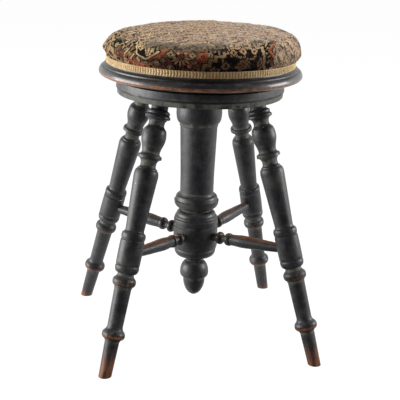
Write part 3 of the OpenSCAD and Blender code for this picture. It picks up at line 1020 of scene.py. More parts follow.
class Cloud:
    """Smooth random patches on a plane, the same at every run."""

    SIDE: ClassVar[int] = 64

    def __init__(self, seed: int) -> None:
        """Draws the lattice."""
        self.lattice = np.random.default_rng(seed).random((self.SIDE, self.SIDE))

    def at(self, x: np.ndarray, y: np.ndarray, size: float) -> np.ndarray:
        """Reads the patches.

        Args:
            x: Places across.
            y: Places along.
            size: Distance between the patches, in the same unit.

        Returns:
            Values from 0 to 1.
        """
        column, row = np.floor(x / size).astype(int), np.floor(y / size).astype(int)
        right, up = x / size - column, y / size - row
        right, up = right * right * (3 - 2 * right), up * up * (3 - 2 * up)
        corner = [
            self.lattice[(row + j) % self.SIDE, (column + i) % self.SIDE] for j in (0, 1) for i in (0, 1)
        ]
        below = corner[0] + (corner[1] - corner[0]) * right
        above = corner[2] + (corner[3] - corner[2]) * right
        return below + (above - below) * up


def lozenge(x: np.ndarray, y: np.ndarray, half_width: float, half_height: float) -> np.ndarray:
    """Measures how far out a place lies on a lozenge, which is 1 at its edge."""
    return abs(x) / half_width + abs(y) / half_height


def eased(value: np.ndarray, low: float, high: float) -> np.ndarray:
    """Rises smoothly from 0 at low to 1 at high, or falls where low is the larger."""
    share = np.clip((value - low) / (high - low), 0, 1)
    return share * share * (3 - 2 * share)


class Carpet:
    """The traditional pattern of the cover, worked out knot by knot.

    Places are in millimetres on the flat cloth. The front of the seat lies towards minus v. A
    motif is placed by u and by its rise above the braid on the front or on the back.
    """

    TURN: ClassVar[float] = 46
    # Pale colour of the faded top, partly a painted sheen of the pile.
    FADED_WITH_SHEEN: ClassVar[Triple] = (188, 171, 160)
    SOOTY: ClassVar[Triple] = (96, 88, 74)
    SMEARED: ClassVar[Triple] = (60, 66, 62)
    THREADBARE: ClassVar[Triple] = (170, 150, 124)

    def __init__(self, u: np.ndarray, v: np.ndarray, rise: np.ndarray, brow: float, hem: float) -> None:
        """Starts with bare ground.

        Args:
            u: Place of each knot across the seat.
            v: Place of each knot from the front to the back.
            rise: Height of each knot above the braid, along the cloth.
            brow: Radius of the seat's top, where the cloth turns down.
            hem: Length of cloth from there to the braid.
        """
        self.u, self.v, self.rise = u, v, rise
        self.colour = np.zeros((len(u), 3))
        self.rng = np.random.default_rng(7)
        self.across = np.where(v < 0, u, -u)
        self.up = hem - abs(v) + np.sqrt(np.maximum(brow**2 - u**2, 0))
        self.whole = np.ones(len(u), bool)
        self.low = self.up < self.TURN

    def lay(self, where: np.ndarray, yarn: Yarn) -> None:
        """Ties knots of one yarn."""
        self.colour[where] = yarn.value

    def blocks(self, yarn: Yarn, *blocks: tuple[float, float, float, float]) -> None:
        """Lays upright oblongs.

        Args:
            yarn: Their yarn.
            blocks: The left, right, foot and top of each.
        """
        for left, right, foot, top in blocks:
            inside = (self.across > left) & (self.across < right) & (self.up > foot) & (self.up < top)
            self.lay(inside, yarn)

    def strokes(
        self, yarn: Yarn, width: float, *lines: Sequence[tuple[float, float]], edge: float = 1.5
    ) -> None:
        """Lays bars along broken lines, with an ink line on both sides.

        Args:
            yarn: Their yarn.
            width: Their width.
            lines: The corners of each line.
            edge: Width of the ink line, or 0 for none.
        """
        away = [self._away(line) for line in lines]
        if edge:
            for distance in away:
                self.lay(distance < width / 2 + edge, Yarn.INK)
        for distance in away:
            self.lay(distance < width / 2, yarn)

    def _away(self, line: Sequence[tuple[float, float]]) -> np.ndarray:
        """Measures how far every knot lies from a broken line.

        Args:
            line: The line's corners.

        Returns:
            The distances.
        """
        nearest = np.full(len(self.u), np.inf)
        for (x0, y0), (x1, y1) in zip(line, line[1:]):
            x, y, dx, dy = self.across - x0, self.up - y0, x1 - x0, y1 - y0
            share = np.clip((x * dx + y * dy) / (dx * dx + dy * dy), 0, 1)
            nearest = np.minimum(nearest, np.hypot(x - share * dx, y - share * dy))
        return nearest

    def gems(
        self, yarns: Sequence[tuple[float, Yarn]], *places: tuple[float, float, float, float]
    ) -> None:
        """Lays lozenges inside one another.

        Args:
            yarns: The size of each lozenge as a share of the first, and its yarn.
            places: The centre of each group, and half its width and height.
        """
        for u, rise, half_width, half_height in places:
            shape = lozenge(self.across - u, self.up - rise, half_width, half_height)
            for size, yarn in yarns:
                self.lay(shape < size, yarn)

    def ground(self) -> None:
        """Lays the ground, pale at the ends and on top and rust between the motifs."""
        self.lay(self.whole, Yarn.SAND)
        self._flecks(self.whole)
        self.blocks(Yarn.RUST, (-108, 4, -20, 35), (-134, -108, -20, 17), (-124, -112, 14, 24))
        worn = self.low & (self.up < 34) & (abs(self.across + 65) < 70)
        self.lay(worn & (Cloud(3).at(self.u, self.v, 8) > 0.62), Yarn.BRICK)
        self.lay(worn & (Cloud(6).at(self.u, self.v, 3.2) > 0.80), Yarn.INK)
        leaves = (self.across + 1.2 * self.up) % 8.5
        self.lay(worn & (self.up < 9) & (self.across > -62) & (leaves < 2.6), Yarn.INK)
        self.lay(worn & (self.up < 6) & (self.across > -62) & (leaves > 5.6), Yarn.BRICK)

    def _flecks(self, where: np.ndarray) -> None:
        """Fills a ground with rows of small hooked marks.

        Args:
            where: The knots that take part.
        """
        row = np.floor(self.v / 12)
        shifted = self.u + (row * 5) % 15
        pick = (np.floor(shifted / 15) * 7 + row * 13) % 5
        x, y = shifted % 15 - 7.5, self.v % 12 - 6
        x = np.where(pick % 2 == 0, x, -x)
        dash = (abs(x + 2.2) < 4.2) & (abs(y + 2.6) < 2.7)
        for number, yarn in enumerate((Yarn.PLUM, Yarn.SOOT, Yarn.INK, Yarn.BRICK, Yarn.PLUM)):
            self.lay(where & dash & (pick == number), yarn)
        self.lay(where & (abs(x - 1.4) < 4.6) & (abs(y - 2.6) < 1.9), Yarn.CREAM)
        self.lay(where & (lozenge(x - 2, y - 2.6, 2.6, 2.4) < 1), Yarn.PLUM)
        hook = (abs(x - 6.2) < 1.2) & (abs(y) < 5)
        hook |= (abs(y + 4.8) < 1.1) & (x > -7.0) & (x < 0)
        self.lay(where & hook, Yarn.SOOT)
        self.lay(where & hook & (pick == 3), Yarn.INK)
        figure = (pick + row) % 3
        leaf = where & (figure == 1)
        self.lay(leaf, Yarn.SAND)
        self.lay(leaf & (abs(0.9 * x + y) < 4.2) & (abs(x) < 6), Yarn.PLUM)
        self.lay(leaf & (abs(0.9 * x + y) < 2.2) & (abs(x) < 4.6), Yarn.CREAM)
        self.lay(leaf & (abs(0.9 * x + y) < 0.8) & (abs(x) < 4), Yarn.BRICK)
        bloom = lozenge(x, y, 7.6, 6.2)
        for size, yarn in ((1.0, Yarn.SOOT), (0.74, Yarn.CREAM), (0.5, Yarn.PLUM), (0.24, Yarn.SAND)):
            self.lay(where & (figure == 2) & (bloom < size), yarn)
        veil = Cloud(4).at(self.u, self.v, 4.5)
        self.lay(where & (veil > 0.80), Yarn.PLUM)
        self.lay(where & (veil > 0.68) & (self.across < -100), Yarn.INK)
        self.lay(where & (veil < 0.14), Yarn.SAND)

    def medallion(self) -> None:
        """Lays the black stepped medallion with its pale figures."""
        steps = [(-2, 94, 14), (6, 93, 21), (14, 92, 27), (25, 91, 33), (37, 90, 41)]
        self.blocks(Yarn.INK, *((left - 1.5, right + 1.5, -20, top + 1.5) for left, right, top in steps))
        self.blocks(Yarn.SAND, *((left, right, -20, top) for left, right, top in steps))
        self.blocks(Yarn.INK, *((left + 4.5, right - 4, -20, top - 4) for left, right, top in steps))
        hooks = [(16, -4), (16, 5), (22, 5), (22, -2)], [(26, 20), (26, 12), (33, 12), (33, 4)]
        self.strokes(Yarn.SAND, 3, *hooks)
        self.strokes(Yarn.SAND, 3, [(38, 34), (38, 26), (45, 26)], [(48, 24), (54, 24), (54, 17)], edge=0)
        self.strokes(Yarn.SAND, 2.6, [(66, 20), (72, 20), (72, 28)], [(62, 22), (62, 15)], edge=0)
        eyed = ((1.35, Yarn.INK), (1.0, Yarn.SAND), (0.5, Yarn.BRICK), (0.24, Yarn.INK))
        self.gems(eyed, (30, 11, 7, 7), (41, 31, 5.5, 6), (84, 11, 5, 10), (14, 3, 5, 6))
        self.strokes(Yarn.SAND, 4.2, [(56, 30), (56, 24)], [(74, 30), (74, 24)])
        self.gems(eyed, (56, 33, 6, 7), (74, 33, 6, 7))
        inside = ((self.across - 56) / 12) ** 2 + ((self.up - 10) / 9.5) ** 2
        weave = abs((self.across + self.up) % 6.4 - 3.2) < 1.3
        weave |= abs((self.across - self.up) % 6.4 - 3.2) < 1.3
        self.lay(inside < 1.25, Yarn.INK)
        self.lay(inside < 1, Yarn.PLUM)
        self.lay((inside < 1) & weave, Yarn.SAND)
        self.gems(((1, Yarn.BRICK), (0.5, Yarn.CREAM)), (56, 10, 4, 4), (48, 10, 3, 3), (64, 10, 3, 3))
        crooks = [[(u, 31), (u, 39), (u + 3, 39), (u + 3, 35)] for u in (12, 18, 24, 30)]
        crooks += [[(u, 44), (u, 50), (u - 3, 50)] for u in (18, 30, 44, 58, 72)]
        self.strokes(Yarn.INK, 1.6, *crooks, edge=0)

    def palmette(self, u: float, rise: float) -> None:
        """Lays a fan of pale petals round a dark heart, with a leaf on each side.

        Args:
            u: Place of its heart.
            rise: Height of its heart.
        """
        self.strokes(Yarn.BRICK, 1.6, *([(stem, rise - 14), (stem, -6)] for stem in (u - 5, u, u + 5)))
        for turn in (-80, -54, -27, 0, 27, 54, 80):
            side, down = math.sin(math.radians(turn)), -math.cos(math.radians(turn))
            inner, middle, tip = (
                (u + reach * side, rise + reach * down) for reach in (5, 9, 15 - abs(turn) / 40)
            )
            self.strokes(Yarn.SAND, 3.4, [inner, tip])
            self.strokes(Yarn.CREAM, 1.8, [middle, tip], edge=0)
        leaf = ((1.3, Yarn.INK), (1.0, Yarn.SAGE), (0.6, Yarn.CREAM), (0.3, Yarn.INK))
        self.gems(leaf, (u - 15, rise + 4, 7.5, 8), (u + 16, rise + 4, 6.5, 7))
        self.gems(((1, Yarn.INK), (0.62, Yarn.BRICK), (0.3, Yarn.INK)), (u, rise + 1, 8, 7))
        self.gems(((1, Yarn.CREAM),), (u - 5, rise + 8, 2.4, 2.4), (u + 5, rise + 8, 2.4, 2.4))

    def pocket(self) -> None:
        """Lays the black bag between pale bars, with a striped flower in it and leaves under it."""
        floor = np.maximum(14 - 0.3 * (self.across + 103), 9.5 + (self.across + 84))
        inside = (self.across > -104) & (self.across < -62) & (self.up > floor) & (self.up < 33)
        self.lay(self.low & inside, Yarn.INK)
        self.strokes(Yarn.CREAM, 3.4, [(-102.5, 46), (-102.5, 15), (-84, 9.5), (-65, 29)])
        self.strokes(Yarn.SAND, 2.6, [(-73, 34), (-73, 27)], [(-68, 38), (-68, 32)])
        self.gems(((1, Yarn.CREAM), (0.4, Yarn.PLUM)), (-95, 30, 5, 5.5), (-90, 34, 4, 4), (-98, 35, 4, 4))
        for lean in (-6, -3, 0, 3, 6):
            yarn = Yarn.BRICK if lean % 2 else Yarn.CREAM
            self.strokes(yarn, 2.2, [(-81 + lean / 3, 18), (-81 + lean, 33)], edge=0)
        leaf = ((1.3, Yarn.INK), (1.0, Yarn.SAGE), (0.5, Yarn.CREAM), (0.25, Yarn.INK))
        self.gems(leaf, (-84, 3, 11, 4.5), (-66, 8, 8, 7), (-100, 4, 5, 6), (-117, 8, 5, 9), (-112, 24, 5, 7))
        self.gems(leaf, (-56, 14, 5.5, 5), (-60, 38, 6, 4), (-12.5, 14.5, 4.5, 4.5), (-48, 2, 5, 5))
        self.gems(leaf, (-6, 2, 4, 5), (-17, 40, 5, 5), (-125, 12, 4, 9))
        darts = [[(u, rise), (u + 4, rise + 5)] for u in range(-140, -106, 8) for rise in (20, 31, 42)]
        self.strokes(Yarn.INK, 3.4, *darts, edge=0)
        glints = [[(u + 4, rise - 2), (u + 7, rise + 2)] for (u, rise), _ in darts[::2]]
        self.strokes(Yarn.CREAM, 1.8, *glints, edge=0)
        self.strokes(Yarn.CREAM, 2.2, [(-129, -2), (-121, 15)], [(-117, -4), (-107, 13)], edge=1.2)

    def borders(self) -> None:
        """Lays the narrow stripes of the left end and the zigzag lines of the right one."""
        lean = self.across - 0.25 * self.up + 3 * np.sin(self.v / 5)
        stripes = [Yarn.CREAM, Yarn.PLUM, Yarn.BRICK, Yarn.SAGE, Yarn.INK, Yarn.SAND, Yarn.SAND]
        for i, yarn in enumerate(stripes):
            start = -128 - 3 * i
            self.lay(self.low & (lean < start) & (lean > start - 3), yarn)
        zigzag = [(95, 50), (93, 40), (84, 28), (93, 15), (91, 8), (102, -6)]
        self.strokes(Yarn.INK, 11, [(u + 8, rise) for u, rise in zigzag], edge=0)
        self.strokes(Yarn.SAND, 3.2, zigzag)
        self.strokes(Yarn.BRICK, 3.2, [(u + 13, rise) for u, rise in zigzag])
        self.strokes(Yarn.RUST, 4.2, [(u + 14, rise) for u, rise in zigzag[1:4]])
        bead = ((1, Yarn.SAGE), (0.5, Yarn.CREAM), (0.25, Yarn.INK))
        places = ((101, 39), (95, 32), (94, 24), (99, 17), (100, 9))
        self.gems(bead, *((u, rise, 3, 3.6) for u, rise in places))

    def motifs(self) -> None:
        """Lays the front's motifs, and the same on the back turned round."""
        self.ground()
        self.borders()
        self.medallion()
        self.palmette(-32, 23)
        self.pocket()

    def worn(self) -> np.ndarray:
        """Fades the top, partly as a painted sheen, soils the brow, darkens the low front with grime and
        painted shade, and varies each knot.

        Returns:
            The finished colours, from 0 to 255.
        """
        colour = self.colour.copy()
        # The top and the right end turn pale: fading, and a painted sheen of the pile seen at a glancing
        # angle.
        patches = Cloud(11).at(self.u, self.v, 26)
        fade_and_sheen = eased(self.rise + 14 * (patches - 0.5), 32, 54)
        fade_and_sheen = np.maximum(fade_and_sheen, 0.55 * eased(self.across, 100, 122))[:, None]
        kept = 0.56 + 0.34 * Cloud(12).at(self.u - 0.4 * self.v, self.v, 15)[:, None]
        kept = kept - 0.22 * eased(self.u, -60, 110)[:, None]
        colour += fade_and_sheen * (1 - kept) * (self.FADED_WITH_SHEEN - colour)

        edge = 12 * (Cloud(13).at(self.u, self.v, 11) - 0.5)
        soot = eased(self.u + edge, -100, -76) * eased(self.u + edge, 44, 14) * (self.v < 0)
        soot = soot * eased(self.rise + 0.5 * edge, 31, 37) * eased(self.rise + edge, 62, 48)
        colour += 0.62 * soot[:, None] * (self.SOOTY - colour)
        smear = eased(self.u + edge, 62, 70) * eased(self.u + edge, 96, 86) * (self.v < 0)
        smear = smear * eased(self.rise + 0.5 * edge, 47, 51) * eased(self.rise + 0.5 * edge, 60, 55)
        colour += 0.6 * smear[:, None] * (self.SMEARED - colour)

        # Darker low on the front, towards the braid: grime, and painted shade where the lamps hardly reach.
        shade_and_grime = eased(self.rise, 34, 16) * eased(abs(self.u - 10), 120, 70) * (self.v < 0)
        colour *= 1 - 0.46 * shade_and_grime[:, None] * np.array([0.85, 1.0, 1.1])
        left = eased(self.across, -96, -116) * eased(self.rise, 74, 52)
        colour *= 1 - 0.10 * left[:, None] * np.array([0.85, 1.0, 1.2])
        colour *= 1 + 0.20 * (Cloud(14).at(self.u, self.v, 5)[:, None] - 0.5)
        colour *= 1 + 0.24 * (self.rng.random((len(colour), 1)) - 0.5)
        thin = self.rng.random(len(colour)) < 0.035
        colour[thin] += 0.45 * (self.THREADBARE - colour[thin])
        return np.clip(colour, 0, 255)


@dataclass
class Cover:
    """The stuffed seat: a horsehair pad under a woven cover, drawn down and nailed at its foot.

    Attributes:
        turn: How far the cloth's own axes are turned against the frame's.
        brow_share: Radius at which the cloth turns down, as a share of the seat's.
        waist_share: Height of the widest line, as a share of the seat's.
        crown_powers: How full the crown's outline is, across and up.
        drape_power: How far the hanging threads keep to the cloth's own axes.
        creep: How far the stuffing has crept to one side, where it also stands higher by the
            lean, hangs lower by the sag and stands out by the bulge.
        shoulder: How far the shoulder under the crown stands out.
        hidden: Height up to which the braid hides the cloth, which has no puckers there.
        tuck: How far the cloth is tucked in under the braid.
        most_give: How far the simulation may move a point.
        slack: How much smaller than the outline the simulated bag starts.
        skin: Unevenness of the pile.
        step: Length along the cloth over which its slope is taken.
        ring: Width of the rings whose mean shape is the outline.
    """

    cover: Box
    braid: Box
    board_top: float
    turn: float
    knot: float = 1.5 * MM
    brow_share: float = 0.90
    waist_share: float = 0.378
    crown_powers: tuple[float, float] = (2 / 4.4, 2 / 2.3)
    drape_power: float = 3.0
    creep: float = 2.2 * MM
    creep_azimuth: float = math.radians(8)
    lean: float = 4.8 * MM
    sag: float = 3.4 * MM
    bulge: float = 2.4 * MM
    shoulder: float = 1.7 * MM
    lump: float = 0.9 * MM
    lump_size: float = 38 * MM
    pucker: float = 0.35 * MM
    pucker_reach: float = 7 * MM
    hidden: float = 8 * MM
    braid_thick: float = 1.8 * MM
    tuck: float = 2.1 * MM
    lift_off: float = 0.1 * MM
    most_give: float = 1.3 * MM
    slack: float = 1.5 * MM
    nails: int = 24
    voxel: float = 6 * MM
    skin: float = 0.15 * MM
    step: float = 0.5 * MM
    ring: float = 2 * MM

    def build(self) -> bpy.types.Object:
        """Makes the cushion.

        Returns:
            The finished piece.
        """
        self._draw_outline()
        body = self._stuffed()
        u, v, faces, azimuth, arc = self._cloth_grid()
        points = self._lie(azimuth, arc, body)
        mesh = bpy.data.meshes.new("carpet_cushion")
        mesh.from_pydata(points.tolist(), [], faces.tolist())
        self._colour(mesh, faces, u, v, arc)
        self._close(mesh)
        piece = new_piece("carpet_cushion", mesh)
        mesh.materials.append(CarpetYarn(self.knot).material())
        mesh.shade_smooth()
        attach(piece, "seat")
        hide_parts("seat_cover", "hair_pad")
        LOG.info("made %s of %d knots", piece.name, len(faces))
        return piece

    def _draw_outline(self, crown_points: int = 49, ogee_points: int = 8) -> None:
        """Draws the seat's half outline from the crown to the foot, and measures along it.

        Args:
            crown_points: How many points the crown's curve has.
            ogee_points: How many points lead from there in to the foot.
        """
        low, high = self.cover
        waist = low.z + self.waist_share * (high.z - low.z)
        crown = high.z - waist
        self.foot_radius = self.braid[1].x - self.braid_thick
        angles = np.radians(np.linspace(90, 0, crown_points))
        radii = high.x * np.cos(angles) ** self.crown_powers[0]
        heights = waist + crown * np.sin(angles) ** self.crown_powers[1]
        radii[0] = 0
        steps = np.linspace(0, 1, ogee_points + 1)[1:]
        ogee = (1 - np.cos(math.pi * steps)) / 2
        radii = np.append(radii, high.x + (self.foot_radius - high.x) * ogee)
        heights = np.append(heights, waist + (self.braid[1].z - waist) * steps)
        radii = np.append(radii, self.foot_radius)
        heights = np.append(heights, low.z)
        arcs = np.append(0, np.cumsum(np.hypot(np.diff(radii), np.diff(heights))))
        self.outline = (arcs, radii, heights)
        self.brow = np.interp(self.brow_share * high.x, radii[:crown_points], arcs[:crown_points])
        self.reach = arcs[-1]

    def _surface(self, azimuth: np.ndarray, arc: np.ndarray) -> tuple[np.ndarray, np.ndarray]:
        """Finds points of the outline's surface and the directions out of it.

        Args:
            azimuth: Direction of each point from the seat's middle.
            arc: Distance of each point from the crown, along the cloth.

        Returns:
            The points and their outward directions.
        """
        arcs, radii, heights = self.outline
        radius, height = np.interp(arc, arcs, radii), np.interp(arc, arcs, heights)
        before, after = (np.clip(arc + step, 0, self.reach) for step in (-self.step, self.step))
        run = np.interp(after, arcs, radii) - np.interp(before, arcs, radii)
        fall = np.interp(after, arcs, heights) - np.interp(before, arcs, heights)
        length = np.hypot(run, fall)
        out, up = -fall / length, run / length
        cosine, sine = np.cos(azimuth), np.sin(azimuth)
        points = np.stack([radius * cosine, radius * sine, height], axis=1)
        return points, np.stack([out * cosine, out * sine, up], axis=1)

    def _stuffed(self, rows: int = 44, sectors: int = 96) -> BVHTree:
        """Stuffs a slack closed bag by cloth simulation.

        Args:
            rows: How many rings of vertices the bag starts with.
            sectors: How many vertices each ring has.

        Returns:
            The surface of the stuffed bag.
        """
        shape = bmesh.new()
        rings = []
        for arc in np.linspace(0, self.reach, rows)[1:]:
            azimuth = np.linspace(0, 2 * math.pi, sectors, endpoint=False)
            points, out = self._surface(azimuth, np.full(sectors, arc))
            rings.append([shape.verts.new(p) for p in (points - out * self.slack).tolist()])
        top = shape.verts.new((0, 0, self.cover[1].z - self.slack))
        for i in range(sectors):
            j = (i + 1) % sectors
            shape.faces.new((top, rings[0][i], rings[0][j]))
            for inner, outer in zip(rings, rings[1:]):
                shape.faces.new((inner[i], outer[i], outer[j], inner[j]))
        shape.faces.new(reversed(rings[-1]))
        mesh = bpy.data.meshes.new("bag")
        shape.to_mesh(mesh)
        shape.free()
        bag = new_piece("bag", mesh)
        self._simulate(bag)
        graph = bpy.context.evaluated_depsgraph_get()
        tree = BVHTree.FromObject(bag.evaluated_get(graph), graph)
        bpy.data.objects.remove(bag)
        return tree

    def _simulate(self, bag: bpy.types.Object, pressure: float = 4.0, frames: int = 20) -> None:
        """Remeshes the bag evenly and blows it up a little, nailed at its foot.

        Args:
            bag: The bag.
            pressure: Pressure in it.
            frames: How long it is blown up.
        """
        remesh = bag.modifiers.new("even", "REMESH")
        remesh.mode = "VOXEL"
        remesh.voxel_size = self.voxel
        self._keep(bag)
        nailed = bag.vertex_groups.new(name="nailed")
        for vertex in bag.data.vertices:
            nailed.add([vertex.index], self._held(*vertex.co), "REPLACE")
        cloth = bag.modifiers.new("cloth", "CLOTH").settings
        cloth.use_pressure = True
        cloth.uniform_pressure_force = pressure
        cloth.vertex_group_mass = "nailed"
        cloth.effector_weights.gravity = 0.0
        for frame in range(1, frames + 1):
            bpy.context.scene.frame_set(frame)
        self._keep(bag)
        bpy.context.scene.frame_set(1)

    @staticmethod
    def _keep(bag: bpy.types.Object) -> None:
        """Keeps what the bag's modifier has made, and takes the modifier off.

        Args:
            bag: The bag.
        """
        mesh = frozen(bag)
        bag.modifiers.clear()
        bag.data = mesh

    def _held(self, x: float, y: float, z: float, spread: float = 4 * MM, scallop: float = 3 * MM) -> float:
        """Works out how firmly the nails hold a place: wholly at the foot, less between two nails.

        Args:
            x: The place across the seat.
            y: The place along it.
            z: Its height.
            spread: Height over which the hold fades out, up to the braid's top.
            scallop: How much higher the hold reaches over a nail than between two.

        Returns:
            The hold, from 0 to 1.
        """
        between = 0.5 - 0.5 * math.cos(self.nails * math.atan2(y, x))
        free = (z - (self.braid[1].z - spread) - scallop * (1 - between)) / spread
        return min(1.0, max(0.0, 1 - free))

    def _drape(self, azimuth: np.ndarray) -> np.ndarray:
        """Gives the direction, on the flat cloth, of the threads that hang down at an azimuth.

        Args:
            azimuth: The azimuths.

        Returns:
            The directions, as a row of u and a row of v.
        """
        ways = np.stack([np.cos(azimuth), np.sin(azimuth)])
        ways = np.sign(ways) * abs(ways) ** self.drape_power
        return ways / np.linalg.norm(ways, axis=0)

    def _cloth_grid(self) -> tuple[np.ndarray, np.ndarray, np.ndarray, np.ndarray, np.ndarray]:
        """Lays the flat cloth's knots on the seat.

        Returns:
            u and v of each corner of a knot, the corners of each knot, and each corner's
            azimuth and distance from the crown along the cloth.
        """
        count = math.ceil(self.reach / self.knot) + 2
        line = np.arange(-count, count + 1) * self.knot
        v, u = (grid.ravel() for grid in np.meshgrid(line, line, indexing="ij"))
        azimuth, out = np.arctan2(v, u), np.hypot(u, v)
        hang = np.maximum(out - self.brow, 0)
        over = np.flatnonzero(hang > 0)
        azimuth[over], hang[over] = self._hang(azimuth[over], hang[over], np.stack([u[over], v[over]]))
        arc = np.minimum(out, self.brow) + hang
        side = 2 * count + 1
        corner = (np.arange(side - 1)[:, None] * side + np.arange(side - 1)).ravel()
        faces = np.stack([corner, corner + 1, corner + side + 1, corner + side], axis=1)
        faces = faces[(arc[faces] < self.reach).any(axis=1)]
        used, index = np.unique(faces, return_inverse=True)
        arc = np.minimum(arc, self.reach)
        return u[used], v[used], index.reshape(-1, 4), azimuth[used], arc[used]

    def _hang(
        self, turn: np.ndarray, drop: np.ndarray, target: np.ndarray, rounds: int = 24, nudge: float = 1e-5
    ) -> tuple[np.ndarray, np.ndarray]:
        """Finds where the cloth's places below the brow come to hang, by Newton's method.

        Args:
            turn: A first guess at their azimuths.
            drop: A first guess at their distances below the brow.
            target: Their u and v on the flat cloth.
            rounds: How often the guess is mended.
            nudge: Change of azimuth by which its effect is measured.

        Returns:
            Their azimuths and their distances below the brow.
        """
        for _ in range(rounds):
            miss = self._hung(turn, drop) - target
            by_turn = (self._hung(turn + nudge, drop) - self._hung(turn - nudge, drop)) / (2 * nudge)
            by_drop = self._drape(turn)
            scale = by_turn[0] * by_drop[1] - by_turn[1] * by_drop[0]
            turn = turn - np.clip((miss[0] * by_drop[1] - miss[1] * by_drop[0]) / scale, -0.1, 0.1)
            drop = np.maximum(drop - (by_turn[0] * miss[1] - by_turn[1] * miss[0]) / scale, 0)
        return turn, drop

    def _hung(self, azimuth: np.ndarray, drop: np.ndarray) -> np.ndarray:
        """Gives u and v of the cloth that lies a distance below the brow at an azimuth."""
        return self.brow * np.stack([np.cos(azimuth), np.sin(azimuth)]) + drop * self._drape(azimuth)

    def _lie(self, azimuth: np.ndarray, arc: np.ndarray, body: Optional[BVHTree]) -> np.ndarray:
        """Lays the cloth on the stuffed bag, and lets both settle.

        Args:
            azimuth: Azimuth of each corner on the cloth's own axes.
            arc: Its distance from the crown.

        Returns:
            The corners' places.
        """
        points, out = self._surface(azimuth + self.turn, arc)
        if body is not None:
            points += out * self._give(points, out, arc, body)[:, None]
        foot = self.braid[1].z
        share = np.clip((points[:, 2] - foot) / (self.cover[1].z - foot), 0, 1)
        lift = np.sin(np.minimum(share * 1.6, 1) * math.pi / 2)
        side = np.hypot(points[:, 0], points[:, 1]) / self.cover[1].x
        tilt = np.cos(azimuth + self.turn - self.creep_azimuth)
        belly = np.exp(-(((share - 0.2) / 0.2) ** 2)) * (share > 0)
        points[:, 0] += self.creep * lift * math.cos(self.creep_azimuth)
        points[:, 1] += self.creep * lift * math.sin(self.creep_azimuth)
        points[:, 2] += self.lean * share * side * tilt
        points[:, 2] -= self.sag * belly * side * tilt
        square = self.shoulder * np.exp(-(((share - 0.74) / 0.14) ** 2))
        full = self.bulge * belly * np.maximum(tilt, -0.5 * tilt)
        lumps = Cloud(21).at(points[:, 0], points[:, 1], self.lump_size) - 0.5
        pile = self.skin * np.random.default_rng(5).normal(size=len(points)) * (share > 0)
        shift = square + full + self._puckers(azimuth, points[:, 2]) + self.lump * lumps * lift + pile
        return points + out * shift[:, None]

    def _puckers(self, azimuth: np.ndarray, height: np.ndarray) -> np.ndarray:
        """Folds the cloth a little above the nails.

        Args:
            azimuth: Azimuth of each place.
            height: Its height.

        Returns:
            How far each place moves out.
        """
        strength = np.exp(-((height - self.braid[1].z) / self.pucker_reach) ** 2)
        strength *= height > self.cover[0].z + self.hidden
        folds = np.sin(67 * azimuth + 2.0 * np.sin(5 * azimuth)) + 0.6 * np.sin(103 * azimuth + 1)
        return self.pucker * strength * folds

    def _give(
        self, points: np.ndarray, out: np.ndarray, arc: np.ndarray, body: BVHTree, reach: float = 16 * MM
    ) -> np.ndarray:
        """Measures how far the stuffed bag stands out from its own mean outline, and caps it.

        Args:
            points: Places on the drawn outline.
            out: The directions out of it.
            arc: Each place's distance from the crown.
            body: The stuffed bag.
            reach: How far in and out the bag is looked for.

        Returns:
            How far each place moves out.
        """
        give = np.full(len(points), np.nan)
        for i, (point, way) in enumerate(zip(points, out)):
            found = body.ray_cast(Vector(point - way * reach), Vector(way), 2 * reach)
            if found[0] is not None:
                give[i] = found[3] - reach
        rings = np.round(arc / self.ring).astype(int)
        known = ~np.isnan(give)
        count = np.bincount(rings[known], minlength=rings.max() + 1)
        total = np.bincount(rings[known], give[known], minlength=rings.max() + 1)
        mean = np.interp(arc / self.ring, np.flatnonzero(count), (total / np.maximum(count, 1))[count > 0])
        give = np.where(known, give - mean, 0)
        return self.most_give * np.tanh(give / self.most_give)

    def _colour(
        self, mesh: bpy.types.Mesh, faces: np.ndarray, u: np.ndarray, v: np.ndarray, arc: np.ndarray
    ) -> None:
        """Writes each knot's colour and the weave's own map.

        Args:
            mesh: The cover's mesh.
            faces: The corners of each knot.
            u: Place of each corner across the flat cloth.
            v: Place of each corner along it.
            arc: Distance of each corner from the crown.
        """
        hem = self.reach - (self.braid[1].z - self.cover[0].z)
        across, along, down = (values[faces].mean(1) for values in (u, v, arc))
        carpet = Carpet(across / MM, along / MM, (hem - down) / MM, self.brow / MM, (hem - self.brow) / MM)
        carpet.motifs()
        shown = carpet.worn() / 255
        linear = np.where(shown > 0.04, ((shown + 0.055) / 1.055) ** 2.4, shown / 12.92)
        rows = np.repeat(np.hstack([linear, np.ones((len(linear), 1))]), 4, axis=0)
        colours = mesh.color_attributes.new(CarpetYarn.COLOURS, "FLOAT_COLOR", "CORNER")
        colours.data.foreach_set("color", rows.ravel().astype(np.float32))
        weave = mesh.uv_layers.new(name=CarpetYarn.WEAVE)
        flat = np.stack([u[faces].ravel(), v[faces].ravel()], axis=1) / CarpetYarn.WEAVE_SPAN + 0.5
        weave.data.foreach_set("uv", flat.ravel().astype(np.float32))

    def _close(self, mesh: bpy.types.Mesh) -> None:
        """Turns the cover in under its foot and closes the cushion on the board.

        Args:
            mesh: The cover's mesh.
        """
        shape = bmesh.new()
        shape.from_mesh(mesh)
        rim = [edge.link_loops[0] for edge in shape.edges if edge.is_boundary]
        bottom = self.board_top + self.lift_off
        for height in (self.cover[0].z, bottom):
            rim = self._turned_in(shape, rim, height)
        centre = shape.verts.new((0, 0, bottom))
        for corner in rim:
            shape.faces.new((corner.link_loop_next.vert, corner.vert, centre))
        shape.to_mesh(mesh)
        shape.free()

